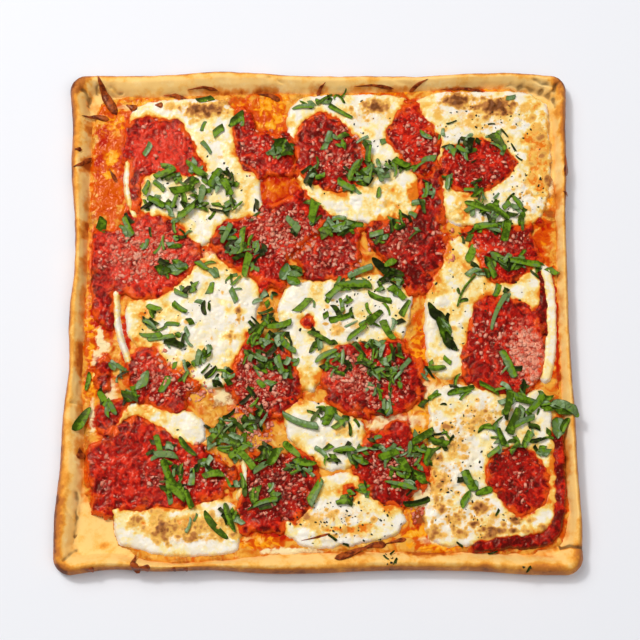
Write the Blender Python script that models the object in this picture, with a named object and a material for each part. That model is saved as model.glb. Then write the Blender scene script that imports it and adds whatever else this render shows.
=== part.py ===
"""Grandpa pizza: a thin square pan pie, uncut, with everything that lies on its crust.

A rimmed crust holds a thin layer of oily melted cheese. Large squares of mozzarella and pools of
crushed tomato lie side by side on that layer, and shreds and leaves of basil lie on top.
Plan outlines are read in millimetres from the middle of the pie, x to the right and y away from
the viewer. Meshes are made in metres with +Z up, and the pie rests on z = 0.
"""

import math

import bmesh
import bpy
import numpy as np
from mathutils import Vector
from mathutils.bvhtree import BVHTree
from mathutils.geometry import delaunay_2d_cdt

MM = 0.001

# Heights above the surface the pie rests on, in millimetres.
FLOOR_TOP = 7.0
RIM_TOP = 17.0
GAP = 0.3
BASE_UNDER = FLOOR_TOP + GAP
BASE_TOP = 9.5
TOPPING_UNDER = BASE_TOP + GAP
SLICE_RISE = 3.0
POOL_RISE = 3.7
LIP = 0.9

# Reach of the crust's outer edge from the centre lines, at evenly spaced stations on each side.
STATION_REACH = 160.0
REACH_TOP = (200.6, 201.3, 204.4, 202.0, 200.0, 200.2, 199.6, 202.0, 202.4)
REACH_RIGHT = (199.0, 198.4, 196.4, 196.2, 196.0, 196.8, 198.4, 199.0, 200.6)
REACH_BOTTOM = (200.0, 197.4, 196.8, 197.2, 199.0, 199.2, 196.6, 197.6, 196.4)
REACH_LEFT = (201.0, 198.0, 197.0, 193.6, 195.0, 192.0, 193.2, 197.2, 197.6)
CORNER_REACH = 200.4
OUTER_CORNER = 13.0

# Reach of the foot of the rim's inner slope, at the same stations.
FOOT_TOP = (181.0, 182.0, 184.0, 185.5, 184.0, 184.5, 185.5, 188.5, 188.0)
FOOT_RIGHT = (188.0, 188.5, 188.0, 187.5, 187.5, 188.0, 188.5, 189.0, 189.5)
FOOT_BOTTOM = (185.0, 183.5, 183.0, 182.5, 183.5, 185.0, 190.0, 190.5, 184.0)
FOOT_LEFT = (182.0, 178.5, 180.5, 182.5, 182.0, 181.5, 181.5, 182.0, 181.5)
FOOT_CORNER_REACH = 185.5
INNER_CORNER = 9.0

# Points along each side, crowded towards the corners by this angle of a sine, and round a corner.
SIDE_STEPS = 30
CROWDING = 1.05
CORNER_STEPS = 8

# Across the rim, from the underside to the foot: share of the rim's width and height.
RIM_PROFILE = (
    (0.18, 0.0),
    (0.03, 2.2),
    (0.0, 6.0),
    (0.06, 11.0),
    (0.22, 15.4),
    (0.42, RIM_TOP),
    (0.64, 15.6),
    (0.84, 11.2),
    (1.0, FLOOR_TOP),
)

# The rim is uneven from this height up: a swell, and a ripple that turns by a step per point.
UNEVEN_FROM = 2.2
RIM_SWELL = 0.7
RIM_SWELL_PHASE = 3
RIM_RIPPLE = 0.5
RIPPLE_STEP = 1.7

# Folds pressed into the rim: start, end, half width and depth.
FOLDS = (
    ((-184, 178), (-172, 170), 3.0, 2.6),
    ((-165, 187), (-157, 183), 2.6, 2.2),
    ((-190, -70), (-180, -70), 2.2, 1.6),
    ((-183, -150), (-182, -176), 3.0, 3.0),
    ((-182, -176), (-190, -189), 2.6, 2.4),
    ((-42, 197), (-27, 192), 2.2, 1.6),
    ((172, 190), (183, 186), 3.0, 2.4),
    ((178, 172), (187, 196), 2.6, 2.4),
    ((189, -143), (186, -162), 2.2, 1.8),
    ((178, -181), (203, -180), 2.4, 6.5),
)

# The cheese layer stops short of the bare corner nearest the viewer on the left.
BASE_CORNERS = (
    (-176, 120), (-172, 172), (-120, 178), (0, 181), (120, 184), (176, 178), (184, 120),
    (184, 0), (184, -120), (180, -174), (100, -179), (0, -179), (-60, -185), (-120, -187),
    (-152, -178), (-156, -160), (-172, -155), (-174, -110), (-178, -60), (-178, 30),
)

# Squares of mozzarella. The pools are cut out of them.
SLICES = {
    "mozzarella_northwest": (
        (-150, 150), (-149, 172), (-118, 179), (-76, 179), (-66, 168), (-65, 130), (-58, 119),
        (-48, 115), (-45, 100), (-47, 83), (-76, 76), (-84, 62), (-92, 57), (-101, 61),
        (-108, 72), (-122, 80), (-139, 85), (-142, 112),
    ),
    "mozzarella_north": (
        (-24, 172), (-14, 181), (20, 183), (60, 183), (74, 174), (66, 150), (66, 130),
        (78, 115), (80, 96), (74, 80), (52, 77), (30, 76), (14, 80), (0, 90), (-12, 102),
        (-18, 114), (-10, 126), (-10, 140), (-23, 148),
    ),
    "mozzarella_northeast": (
        (80, 178), (92, 185), (130, 186), (170, 185), (183, 176), (185, 145), (184, 110),
        (181, 92), (172, 76), (150, 71), (125, 72), (104, 77), (99, 95), (99, 115), (92, 135),
        (86, 158),
    ),
    "mozzarella_west": (
        (-149, 12), (-138, 14), (-126, 14), (-116, 20), (-104, 31), (-94, 43), (-84, 50),
        (-72, 42), (-58, 34), (-47, 28), (-46, 10), (-50, -8), (-57, -22), (-64, -38),
        (-70, -54), (-84, -59), (-96, -54), (-108, -46), (-120, -36), (-128, -25),
        (-140, -26), (-148, -16),
    ),
    "mozzarella_centre": (
        (-31, 8), (-25, 22), (-8, 28), (18, 29), (45, 33), (64, 27), (72, 15), (72, -5),
        (64, -18), (40, -22), (15, -24), (6, -32), (3, -48), (-4, -61), (-13, -58), (-16, -45),
        (-21, -28), (-30, -10),
    ),
    "mozzarella_east": (
        (85, 16), (92, 32), (99, 46), (101, 61), (114, 65), (126, 56), (150, 46), (171, 43),
        (174, 28), (172, 6), (150, -2), (125, -8), (112, -30), (112, -48), (98, -51),
        (86, -44), (84, -20), (83, 0),
    ),
    "mozzarella_ribbon": (
        (-158, -95), (-152, -81), (-146, -71), (-130, -69), (-112, -77), (-98, -76),
        (-88, -84), (-86, -97), (-94, -103), (-107, -99), (-120, -89), (-134, -82),
        (-146, -79), (-152, -86),
    ),
    "mozzarella_south_upper": (
        (-26, -76), (-12, -67), (4, -69), (18, -78), (36, -86), (36, -97), (32, -108),
        (28, -118), (12, -122), (2, -120), (-3, -112), (-14, -106), (-22, -97),
    ),
    "mozzarella_south": (
        (4, -126), (20, -123), (30, -126), (36, -138), (50, -147), (64, -149), (67, -160),
        (58, -171), (40, -175), (20, -179), (0, -181), (-14, -179), (-26, -168), (-25, -159),
        (-18, -162), (-9, -153), (-2, -145),
    ),
    "mozzarella_southeast": (
        (86, -60), (100, -55), (118, -56), (136, -62), (156, -64), (172, -58), (179, -75),
        (181, -110), (181, -145), (177, -163), (166, -170), (146, -172), (124, -176),
        (100, -180), (84, -173), (79, -158), (86, -138), (84, -112), (86, -85),
    ),
    "mozzarella_southwest": (
        (-157, -149), (-146, -151), (-134, -153), (-121, -149), (-104, -151), (-90, -147),
        (-78, -143), (-66, -146), (-60, -158), (-59, -172), (-61, -182), (-80, -186),
        (-104, -187), (-122, -185), (-138, -181), (-151, -177), (-154, -164),
    ),
}

# Folded-over cheese edges: a path along each, and its width.
STRIPS = {
    "mozzarella_fold_northwest": (((-152, 126), (-152, 104), (-149, 90), (-145, 80)), 3.6),
    "mozzarella_fold_west": (((-158, 18), (-157, 0), (-154, -17), (-147, -36)), 3.8),
    "mozzarella_fold_east": (((178, 38), (181.5, 20), (182, 0), (181, -26), (176, -50)), 4.6),
    "mozzarella_fold_south": (((-57, -113), (-56, -124), (-57, -134), (-61, -142)), 3.2),
}

# Pools of crushed tomato.
POOLS = {
    "sauce_northwest": (
        (-155, 148), (-150, 158), (-138, 164), (-126, 161), (-113, 161), (-105, 151),
        (-99, 141), (-97, 131), (-89, 120), (-100, 115), (-124, 118), (-138, 114),
        (-144, 100), (-144, 86), (-147, 86), (-148, 104), (-148, 122), (-155, 134),
    ),
    "sauce_north_west": (
        (-67, 156), (-60, 172), (-53, 168), (-50, 153), (-38, 150), (-26, 146), (-21, 138),
        (-21, 120), (-29, 114), (-44, 117), (-56, 123), (-65, 138),
    ),
    "sauce_north": (
        (-18, 146), (-12, 158), (-2, 166), (7, 167), (16, 161), (26, 151), (34, 140), (41, 129),
        (45, 120), (38, 111), (27, 105), (17, 101), (4, 104), (-6, 110), (-16, 119),
    ),
    "sauce_north_east": (
        (70, 174), (78, 172), (85, 163), (92, 155), (97, 145), (97, 134), (92, 124), (86, 117),
        (78, 121), (70, 129), (60, 137), (54, 144), (56, 153), (62, 163),
    ),
    "sauce_northeast": (
        (102, 137), (118, 141), (130, 145), (142, 140), (156, 131), (158, 124), (147, 112),
        (135, 103), (122, 101), (109, 103), (101, 113), (99, 126),
    ),
    "sauce_west": (
        (-176, 70), (-163, 68), (-152, 73), (-148, 80), (-138, 79), (-120, 74), (-107, 67),
        (-98, 57), (-96, 48), (-102, 37), (-112, 27), (-123, 18), (-138, 17), (-150, 22),
        (-159, 21), (-163, 12), (-162, 2), (-165, -8), (-172, -6), (-177, 14), (-178, 45),
    ),
    "sauce_centre_west": (
        (-80, 62), (-70, 74), (-52, 78), (-42, 85), (-33, 93), (-18, 99), (-4, 92), (7, 81),
        (3, 70), (-10, 61), (-22, 48), (-28, 36), (-31, 24), (-42, 22), (-47, 33), (-60, 39),
        (-74, 49),
    ),
    "sauce_centre_north": (
        (-18, 46), (-8, 57), (6, 67), (22, 71), (34, 66), (32, 55), (35, 48), (30, 42),
        (20, 34), (4, 31), (-8, 35),
    ),
    "sauce_centre_east": (
        (39, 68), (52, 74), (70, 77), (79, 84), (82, 97), (83, 107), (88, 114), (95, 114),
        (98, 104), (97, 90), (95, 74), (98, 54), (91, 36), (83, 22), (75, 20), (69, 28),
        (61, 34), (54, 42), (46, 52), (40, 58),
    ),
    "sauce_east_upper": (
        (118, 66), (132, 70), (150, 66), (164, 71), (171, 60), (173, 48), (163, 34), (150, 27),
        (139, 27), (130, 34), (127, 45), (121, 57),
    ),
    "sauce_east": (
        (124, 10), (132, 15), (143, 16), (154, 13), (163, 7), (170, -4), (172, -18), (171, -36),
        (165, -50), (150, -58), (135, -56), (117, -49), (112, -36), (117, -20), (119, -6),
    ),
    "sauce_west_small": (
        (-166, -29), (-160, -40), (-162, -50), (-161, -59), (-167, -62), (-174, -50),
        (-171, -36),
    ),
    "sauce_west_lower": (
        (-144, -40), (-136, -29), (-126, -28), (-119, -38), (-107, -48), (-94, -52),
        (-99, -60), (-104, -70), (-113, -75), (-122, -70), (-136, -66), (-146, -54),
    ),
    "sauce_southwest_small": (
        (-171, -74), (-162, -69), (-153, -65), (-149, -68), (-153, -77), (-158, -86),
        (-162, -94), (-169, -92),
    ),
    "sauce_southwest": (
        (-176, -102), (-165, -98), (-157, -99), (-149, -90), (-141, -84), (-129, -87),
        (-118, -96), (-104, -104), (-90, -107), (-76, -112), (-66, -122), (-70, -134),
        (-82, -141), (-94, -148), (-108, -148), (-124, -146), (-138, -149), (-150, -148),
        (-158, -152), (-166, -157), (-172, -153), (-171, -141), (-175, -130),
    ),
    "sauce_centre_lower": (
        (-57, -24), (-45, -17), (-34, -21), (-25, -34), (-20, -50), (-17, -63), (-26, -72),
        (-37, -82), (-50, -79), (-62, -69), (-67, -58), (-63, -42),
    ),
    "sauce_south_west": (
        (-54, -117), (-46, -111), (-30, -109), (-14, -112), (-5, -120), (-3, -132), (-8, -144),
        (-13, -154), (-20, -159), (-29, -161), (-32, -167), (-44, -168), (-56, -166),
        (-57, -152), (-54, -136),
    ),
    "sauce_centre": (
        (7, -38), (15, -30), (30, -26), (48, -25), (64, -24), (75, -34), (79, -50), (77, -66),
        (68, -76), (52, -78), (36, -77), (19, -71), (8, -60),
    ),
    "sauce_south_east": (
        (41, -98), (49, -90), (60, -82), (70, -84), (74, -100), (80, -114), (80, -128),
        (72, -141), (56, -146), (44, -140), (34, -130), (31, -120), (37, -109),
    ),
    "sauce_southeast": (
        (130, -118), (136, -109), (148, -104), (158, -105), (168, -112), (174, -122),
        (176, -136), (172, -147), (160, -154), (152, -157), (144, -150), (136, -140),
        (129, -131),
    ),
}

# Thin runs of sauce beside the cheese: a path along each, and its width.
RUNS = {
    "sauce_run_east": (((175.5, 30), (176.5, 10), (176, -12)), 2.0),
    "sauce_run_southeast": (
        ((184.5, -96), (185, -122), (185.5, -142), (183, -162), (176, -175), (160, -178.5),
         (142, -178.5), (124, -180)), 4.4,
    ),
}

# Single drops of tomato: middle and radius, and the sides of each.
DROPS = {
    "tomato_drop_south": ((24.5, -137), 4.6),
    "tomato_drop_centre": ((-8, -5), 4.6),
    "tomato_drop_east": ((176, 76), 3.6),
}
DROP_SIDES = 10

# Large basil leaves: middle, length, width, turn from +x in degrees, and height of the waves.
LEAVES = {
    "basil_leaf_grey": ((-22, 33), 20, 17, 60, 1.6),
    "basil_leaf_dark": ((97, -11), 42, 12, -66, 1.4),
    "basil_leaf_rim": ((187, -75), 24, 13, -12, 1.2),
    "basil_leaf_below_rim": ((185, -91), 14, 12, 80, 1.0),
    "basil_leaf_centre": ((53, 37), 30, 14, -35, 1.6),
    "basil_leaf_west": ((-116, 36), 27, 12, 8, 1.3),
    "basil_leaf_north": ((-29, 137), 19, 15, 50, 1.5),
    "basil_leaf_east": ((148, 42), 24, 11, -14, 1.4),
}
LEAF_THICKNESS = 0.7
LEAF_CELLS = (7, 3)
LEAF_TIP = 0.16
LEAF_FULLNESS = 2.2
LEAF_WAVES = (2.6, 1.4)
LEAF_CLEAR = 4.0

# Drifts of basil shreds: middle, reach along x and y, and how many are tried.
DRIFTS = (
    ((-96, 98), 30, 24, 16),
    ((38, 116), 20, 14, 8),
    ((20, 71), 16, 9, 5),
    ((-66, 50), 20, 14, 8),
    ((-38, -16), 18, 18, 9),
    ((-66, -44), 26, 14, 8),
    ((44, -38), 24, 32, 16),
    ((-72, -96), 22, 12, 8),
    ((-108, -124), 22, 26, 12),
    ((130, 128), 26, 14, 8),
    ((150, 90), 22, 16, 6),
    ((148, 42), 26, 12, 7),
    ((22, 4), 30, 24, 12),
    ((84, -100), 24, 12, 8),
    ((158, -84), 22, 18, 10),
    ((18, -108), 20, 14, 7),
    ((-84, -30), 26, 24, 6),
    ((-30, -128), 24, 26, 8),
    ((118, -140), 14, 14, 5),
    ((142, -10), 24, 36, 7),
    ((-140, -54), 24, 20, 6),
    ((-126, 44), 34, 26, 7),
    ((60, -128), 16, 16, 6),
    ((8, 138), 26, 22, 6),
    ((110, 10), 20, 40, 5),
)
SHRED_LENGTH = (10.0, 19.0)
SHRED_WIDTH = (3.0, 4.6)
SHRED_THICKNESS = 0.9
SHRED_SINK = 0.35
SHRED_STATIONS = 4
SHRED_CHECKS = 5
SHRED_MARGIN = 1.0
SHREDS_APART = 5.0
SHRED_SEED = 5
SHREDS_AT_MOST = 62

# A shred's bend and taper are shares of its length and width. Its ends curl up by a height that
# grows with a power of the way out, more for some shreds than for others, and it tilts sideways.
SHRED_BEND = 0.16
SHRED_TAPER = 1.1
SHRED_CURL = 4.4
CURL_POWER = 2.5
CURL_SPREAD = (0.6, 1.3)
SHRED_TILT = 0.5

# Spacing of the points along outlines and inside them.
SLICE_SPACING = 11.0
POOL_SPACING = 8.0
BASE_SPACING = 26.0
INTERIOR_SPACING = 20.0
POOL_INTERIOR_SPACING = 15.0
BASE_INTERIOR_SPACING = 60.0

# A row of points runs inside each outline at this share of the rounding. Points of the row stay
# this share of that distance from every edge, and lattice points this share of their spacing.
ROW_SHARE = 0.45
ROW_CLEAR = 0.9
LATTICE_CLEAR = 0.35

MERGE_DISTANCE = 0.12
LEAST_CROSS = 1e-4
CUT_GAP = 0.4
RAY_FROM = 60.0
SHARP_ANGLE = math.radians(48)

# How far in from the edge each kind of topping rounds over.
SLICE_ROUNDING = 6.0
STRIP_ROUNDING = 3.0
POOL_ROUNDING = 7.0
BASE_ROUNDING = 3.0

# Height of the low waves over soft food, their lengths, how the phase turns them, and a slant.
SWELL_HEIGHT = 0.4
SWELL_LENGTHS = (7.1, 8.3, 11.9, 15.1)
SWELL_TURNS = (1.3, 0.7, 2.1)
SWELL_SLANT = 1.4

COLOURS = {
    "crust": ((0.66, 0.36, 0.13, 1), 0.62),
    "cheese": ((0.80, 0.42, 0.08, 1), 0.35),
    "mozzarella": ((0.88, 0.80, 0.62, 1), 0.42),
    "sauce": ((0.52, 0.03, 0.012, 1), 0.3),
    "tomato": ((0.62, 0.08, 0.02, 1), 0.3),
    "basil": ((0.06, 0.18, 0.03, 1), 0.5),
}


def clear_scene():
    for found in list(bpy.data.objects):
        bpy.data.objects.remove(found, do_unlink=True)


def material_for(name):
    """A plain Principled material in the colour of the food that the name starts with."""
    colour, roughness = COLOURS[name.split("_")[0]]
    material = bpy.data.materials.new(name)
    material.use_nodes = True
    shader = material.node_tree.nodes["Principled BSDF"]
    shader.inputs["Base Color"].default_value = colour
    shader.inputs["Roughness"].default_value = roughness
    shader.inputs["Metallic"].default_value = 0.0
    return material


def add_object(name, points, faces):
    """One object from points in millimetres, moved so that the crust's box is centred."""
    placed = (np.asarray(points, float) - (*SHIFT, 0.0)) * MM
    mesh = bpy.data.meshes.new(name)
    mesh.from_pydata(placed.tolist(), [], [list(map(int, face)) for face in faces])
    mesh.materials.append(material_for(name))
    mesh.shade_smooth()
    mesh.set_sharp_from_angle(angle=SHARP_ANGLE)
    mesh.validate()
    made = bpy.data.objects.new(name, mesh)
    bpy.context.scene.collection.objects.link(made)
    return made


def smooth_loop(corners, spacing):
    """A closed Catmull-Rom curve through the corners, with a point about every spacing."""
    corners = np.asarray(corners, float)
    before, after = np.roll(corners, 1, axis=0), np.roll(corners, -1, axis=0)
    beyond = np.roll(corners, -2, axis=0)
    pieces = []
    for a, b, c, d in zip(before, corners, after, beyond):
        steps = max(1, round(np.linalg.norm(c - b) / spacing))
        t = (np.arange(steps) / steps)[:, None]
        pieces.append(
            0.5 * (2 * b + (c - a) * t + (2 * a - 5 * b + 4 * c - d) * t**2
                   + (3 * b - a - 3 * c + d) * t**3)
        )
    return np.concatenate(pieces)


def path_loop(path, width, spacing):
    """The outline of a strip: the path offset half its width each way, with pointed-off ends."""
    path = np.asarray(path, float)
    along = np.gradient(path, axis=0)
    along /= np.linalg.norm(along, axis=1)[:, None]
    side = np.stack([-along[:, 1], along[:, 0]], axis=1) * width / 2
    tips = path[[0, -1]] + along[[0, -1]] * np.array([[-width], [width]]) * 0.5
    loop = np.concatenate([tips[:1], (path - side), tips[1:], (path + side)[::-1]])
    return smooth_loop(loop, spacing)


def round_loop(middle, radius):
    """A circle of points round a middle."""
    angle = np.arange(DROP_SIDES) * 2 * math.pi / DROP_SIDES
    return np.asarray(middle, float) + radius * np.stack([np.cos(angle), np.sin(angle)], axis=1)


def turned_left(loop):
    """The loop with its inside on the left of its direction."""
    x, y = loop.T
    area = np.sum(x * np.roll(y, -1) - np.roll(x, -1) * y)
    return loop if area > 0 else loop[::-1]


def edge_distance(points, loops):
    """Distance from each point to the nearest edge of any loop."""
    nearest = np.full(len(points), np.inf)
    for loop in loops:
        start, run = loop, np.roll(loop, -1, axis=0) - loop
        offset = points[:, None, :] - start[None]
        share = np.clip((offset * run).sum(2) / (run**2).sum(1), 0, 1)
        gap = np.linalg.norm(offset - share[..., None] * run, axis=2)
        nearest = np.minimum(nearest, gap.min(axis=1))
    return nearest


def inside(points, loop):
    """Whether each point is inside the loop, by the number of edges that a ray crosses."""
    x, y = points[:, 0, None], points[:, 1, None]
    (x1, y1), (x2, y2) = loop.T, np.roll(loop, -1, axis=0).T
    crosses = (y1 > y) != (y2 > y)
    with np.errstate(divide="ignore", invalid="ignore"):
        at = x1 + (y - y1) * (x2 - x1) / (y2 - y1)
    return (np.sum(crosses & (x < at), axis=1) % 2).astype(bool)


def grown(loop, by):
    """The loop with each point moved outwards by the same distance."""
    loop = turned_left(loop)
    along = np.roll(loop, -1, axis=0) - np.roll(loop, 1, axis=0)
    along /= np.linalg.norm(along, axis=1)[:, None]
    return loop + by * np.stack([along[:, 1], -along[:, 0]], axis=1)


def triangulate(loops, free, keep):
    """Triangles of the plane that respect the loops, of which keep says which centres stay."""
    points = np.concatenate([*loops, free])
    edges, start = [], 0
    for loop in loops:
        count = len(loop)
        edges += [(start + i, start + (i + 1) % count) for i in range(count)]
        start += count
    found = delaunay_2d_cdt([Vector(p) for p in points], edges, [], 0, MERGE_DISTANCE)
    plane = np.array([p[:] for p in found[0]])
    triangles = np.array([face for face in found[2] if len(face) == 3])
    a, b, c = (plane[triangles[:, i]] for i in range(3))
    cross = (b[:, 0] - a[:, 0]) * (c[:, 1] - a[:, 1]) - (b[:, 1] - a[:, 1]) * (c[:, 0] - a[:, 0])
    triangles[cross < 0] = triangles[cross < 0][:, ::-1]
    stays = keep((a + b + c) / 3) & (np.abs(cross) > LEAST_CROSS)
    return plane, triangles[stays]


def largest_piece(triangles):
    """The triangles that hang together by their edges in the largest number."""
    owner = {}
    for index, triangle in enumerate(triangles):
        for a, b in zip(triangle, np.roll(triangle, -1)):
            owner.setdefault((min(a, b), max(a, b)), []).append(index)
    neighbours = [[] for _ in triangles]
    for pair in owner.values():
        if len(pair) == 2:
            neighbours[pair[0]].append(pair[1])
            neighbours[pair[1]].append(pair[0])
    unseen, best = set(range(len(triangles))), []
    while unseen:
        group, reached = [], [unseen.pop()]
        while reached:
            index = reached.pop()
            group.append(index)
            fresh = [other for other in neighbours[index] if other in unseen]
            unseen.difference_update(fresh)
            reached += fresh
        best = max(best, group, key=len)
    return triangles[sorted(best)]


def rim_edges(triangles):
    """The directed edges that only one triangle has."""
    edges = {(a, b) for tri in triangles.tolist() for a, b in zip(tri, tri[1:] + tri[:1])}
    return [edge for edge in edges if edge[::-1] not in edges]


def loops_of(triangles):
    """The closed loops of point numbers round the triangles."""
    following = dict(rim_edges(triangles))
    loops = []
    while following:
        loop = [next(iter(following))]
        while loop[-1] in following:
            loop.append(following.pop(loop[-1]))
        loops.append(loop[:-1])
    return loops


def swell(points, phase):
    """Low uneven waves over the plan, from -1 to 1, different for each phase."""
    x, y = points[:, 0], points[:, 1]
    first, second, third, fourth = SWELL_LENGTHS
    turn, back, across = SWELL_TURNS
    waves = (
        np.sin(x / first + turn * phase) * np.sin(y / second - back * phase)
        + np.sin((x + y) / third + across * phase)
        + np.sin((x - SWELL_SLANT * y) / fourth - phase)
    )
    return waves / 3


def patch_region(outline, cutters):
    """The loops that bound an outline once each cutter and its gap are taken out of it."""
    cut = [grown(other, CUT_GAP) for other in cutters]
    near = [c for c in cut if inside(c, outline).any() or inside(outline, c).any()]

    def keep(centres):
        stays = inside(centres, outline)
        for loop in near:
            stays &= ~inside(centres, loop)
        return stays

    plane, triangles = triangulate([outline, *near], np.empty((0, 2)), keep)
    triangles = largest_piece(triangles)
    return [plane[loop] for loop in loops_of(triangles)]


def in_region(points, loops):
    """Whether each point is inside an odd number of the loops."""
    return sum(inside(points, loop).astype(int) for loop in loops) % 2 == 1


def interior_points(loops, ring_inset, spacing):
    """A row of points just inside the loops, and a triangular lattice over the rest."""
    rings = []
    for loop in loops:
        along = np.roll(loop, -1, axis=0) - np.roll(loop, 1, axis=0)
        along /= np.linalg.norm(along, axis=1)[:, None] + 1e-9
        rings.append(loop + ring_inset * np.stack([-along[:, 1], along[:, 0]], axis=1))
    ring = np.concatenate(rings)
    ring = ring[edge_distance(ring, loops) > ROW_CLEAR * ring_inset]
    low, high = np.min(loops[0], axis=0), np.max(loops[0], axis=0)
    rows = np.arange(low[1], high[1], spacing * math.sqrt(0.75))
    lattice = [
        (x + (row % 2) * spacing / 2, y)
        for row, y in enumerate(rows)
        for x in np.arange(low[0], high[0], spacing)
    ]
    lattice = np.array(lattice)
    clear = ring_inset + LATTICE_CLEAR * spacing
    lattice = lattice[edge_distance(lattice, loops) > clear]
    free = np.concatenate([ring, lattice])
    return free[in_region(free, loops)]


def patch_solid(name, loops, under, rise, round_over, spacing, phase, lumps=SWELL_HEIGHT):
    """A flat-bottomed patch of soft food whose top rises from a low lip like a quarter circle."""
    free = interior_points(loops, ROW_SHARE * round_over, spacing)
    plane, top = triangulate(loops, free, lambda centres: in_region(centres, loops))
    top = largest_piece(top)
    share = np.minimum(edge_distance(plane, loops) / round_over, 1)
    dome = np.sqrt(1 - (1 - share) ** 2)
    height = under + LIP + (rise - LIP) * dome + lumps * swell(plane, phase) * share
    rim_loops = loops_of(top)
    rim = np.concatenate([np.array(loop) for loop in rim_loops])
    lowest = np.full(len(plane), -1)
    lowest[rim] = np.arange(len(rim))
    bounds = [plane[loop] for loop in rim_loops]
    flat, below = triangulate(bounds, np.empty((0, 2)), lambda centres: in_region(centres, bounds))
    match = np.argmin(((flat[:, None] - plane[rim][None]) ** 2).sum(2), axis=1)
    below = match[below][:, ::-1]
    points = np.concatenate([
        np.column_stack([plane[rim], np.full(len(rim), under)]),
        np.column_stack([plane, height]),
    ])
    faces = [*below.tolist(), *(top + len(rim)).tolist()]
    for loop in rim_loops:
        for a, b in zip(loop, loop[1:] + loop[:1]):
            faces.append((lowest[a], lowest[b], b + len(rim), a + len(rim)))
    used = np.unique(np.concatenate([np.ravel(face) for face in faces]))
    number = np.full(len(points), -1)
    number[used] = np.arange(len(used))
    return add_object(name, points[used], [number[list(face)] for face in faces])


def square_loop(sides, corner_reach, corner_radius):
    """Points round an uneven square, anticlockwise from the right end of its far side.

    Each side follows its reaches through a natural interpolation, and quarter circles of the
    corner radius join the sides.
    """
    half = corner_reach - corner_radius
    share = np.linspace(-1, 1, SIDE_STEPS)
    station = half * np.sin(share * CROWDING) / math.sin(CROWDING)
    loop = []
    for turn, values in enumerate(sides):
        known = np.linspace(-STATION_REACH, STATION_REACH, len(values))
        known = np.concatenate([[-half], known, [half]])
        reach = smooth_values(np.concatenate([[corner_reach], values, [corner_reach]]), known, station)
        side = np.column_stack([station, reach])
        angle = (np.arange(1, CORNER_STEPS) / CORNER_STEPS) * math.pi / 2
        corner = half + corner_radius * np.column_stack([np.sin(angle), np.cos(angle)])
        run = np.concatenate([side, corner])
        c, s = math.cos(-turn * math.pi / 2), math.sin(-turn * math.pi / 2)
        loop.append(run @ np.array([[c, s], [-s, c]]))
    return np.concatenate(loop)[::-1]


def smooth_values(values, known, wanted):
    """Cubic interpolation of the values between uneven stations, with averaged slopes."""
    slope = np.gradient(values, known)
    index = np.clip(np.searchsorted(known, wanted) - 1, 0, len(known) - 2)
    width = known[index + 1] - known[index]
    t = (wanted - known[index]) / width
    return (
        (2 * t**3 - 3 * t**2 + 1) * values[index] + (t**3 - 2 * t**2 + t) * width * slope[index]
        + (3 * t**2 - 2 * t**3) * values[index + 1] + (t**3 - t**2) * width * slope[index + 1]
    )


def fold_depth(plan):
    """How deep the folds press in at each point of the plan."""
    depth = np.zeros(len(plan))
    for start, end, half_width, deepest in FOLDS:
        start, run = np.array(start, float), np.array(end, float) - start
        offset = plan - start
        share = np.clip(offset @ run / (run @ run), 0, 1)
        away = np.linalg.norm(offset - share[:, None] * run, axis=1)
        depth += deepest * np.exp(-((away / half_width) ** 2))
    return depth


def make_crust():
    """The rimmed crust: rings from the underside over the rim to the floor, and two flat caps."""
    outer, foot = OUTER_LOOP, FOOT_LOOP
    rings = []
    for share, height in RIM_PROFILE:
        plan = outer + share * (foot - outer)
        lift = max(0.0, (height - UNEVEN_FROM) / (RIM_TOP - UNEVEN_FROM))
        ripple = np.sin(np.arange(len(plan)) * RIPPLE_STEP)
        uneven = RIM_SWELL * swell(plan, RIM_SWELL_PHASE) + RIM_RIPPLE * ripple
        above_floor = 1.0 if FLOOR_TOP < height else 0.0
        z = height + above_floor * (lift * uneven - fold_depth(plan))
        rings.append(np.column_stack([plan, np.maximum(z, min(height, FLOOR_TOP))]))
    count = len(outer)
    faces = []
    for ring in range(len(rings) - 1):
        for i in range(count):
            j = (i + 1) % count
            low, high = ring * count, (ring + 1) * count
            faces.append((low + i, low + j, high + j, high + i))
    points = np.concatenate(rings)
    for ring, flip in ((0, True), (len(rings) - 1, False)):
        loop = points[ring * count:(ring + 1) * count, :2]
        flat, cap = triangulate([loop], np.empty((0, 2)), lambda c, loop=loop: inside(c, loop))
        match = np.argmin(((flat[:, None] - loop[None]) ** 2).sum(2), axis=1) + ring * count
        faces += [tri[::-1] if flip else tri for tri in match[cap].tolist()]
    return add_object("crust", points, faces)


def keep_largest_island(mesh):
    """Drops loose scraps and the inner walls of any sealed hollow."""
    work = bmesh.new()
    work.from_mesh(mesh)
    unseen, islands = set(work.verts), []
    while unseen:
        island, reached = [], [unseen.pop()]
        while reached:
            vert = reached.pop()
            island.append(vert)
            fresh = [e.other_vert(vert) for e in vert.link_edges if e.other_vert(vert) in unseen]
            unseen.difference_update(fresh)
            reached += fresh
        islands.append(island)
    islands.sort(key=len)
    for island in islands[:-1]:
        bmesh.ops.delete(work, geom=island, context="VERTS")
    work.to_mesh(mesh)
    work.free()


def top_finder(objects):
    """A function that gives the highest surface of the objects above each plan point, in mm."""
    trees = []
    for found in objects:
        mesh = found.data
        trees.append(BVHTree.FromPolygons(
            [v.co[:] for v in mesh.vertices], [p.vertices[:] for p in mesh.polygons]))

    def top_at(points):
        heights = []
        for x, y in points:
            start = Vector((x - SHIFT[0], y - SHIFT[1], RAY_FROM)) * MM
            hits = [tree.ray_cast(start, Vector((0, 0, -1)))[0] for tree in trees]
            heights.append(max([hit.z / MM for hit in hits if hit] + [0.0]))
        return np.array(heights)

    return top_at


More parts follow.
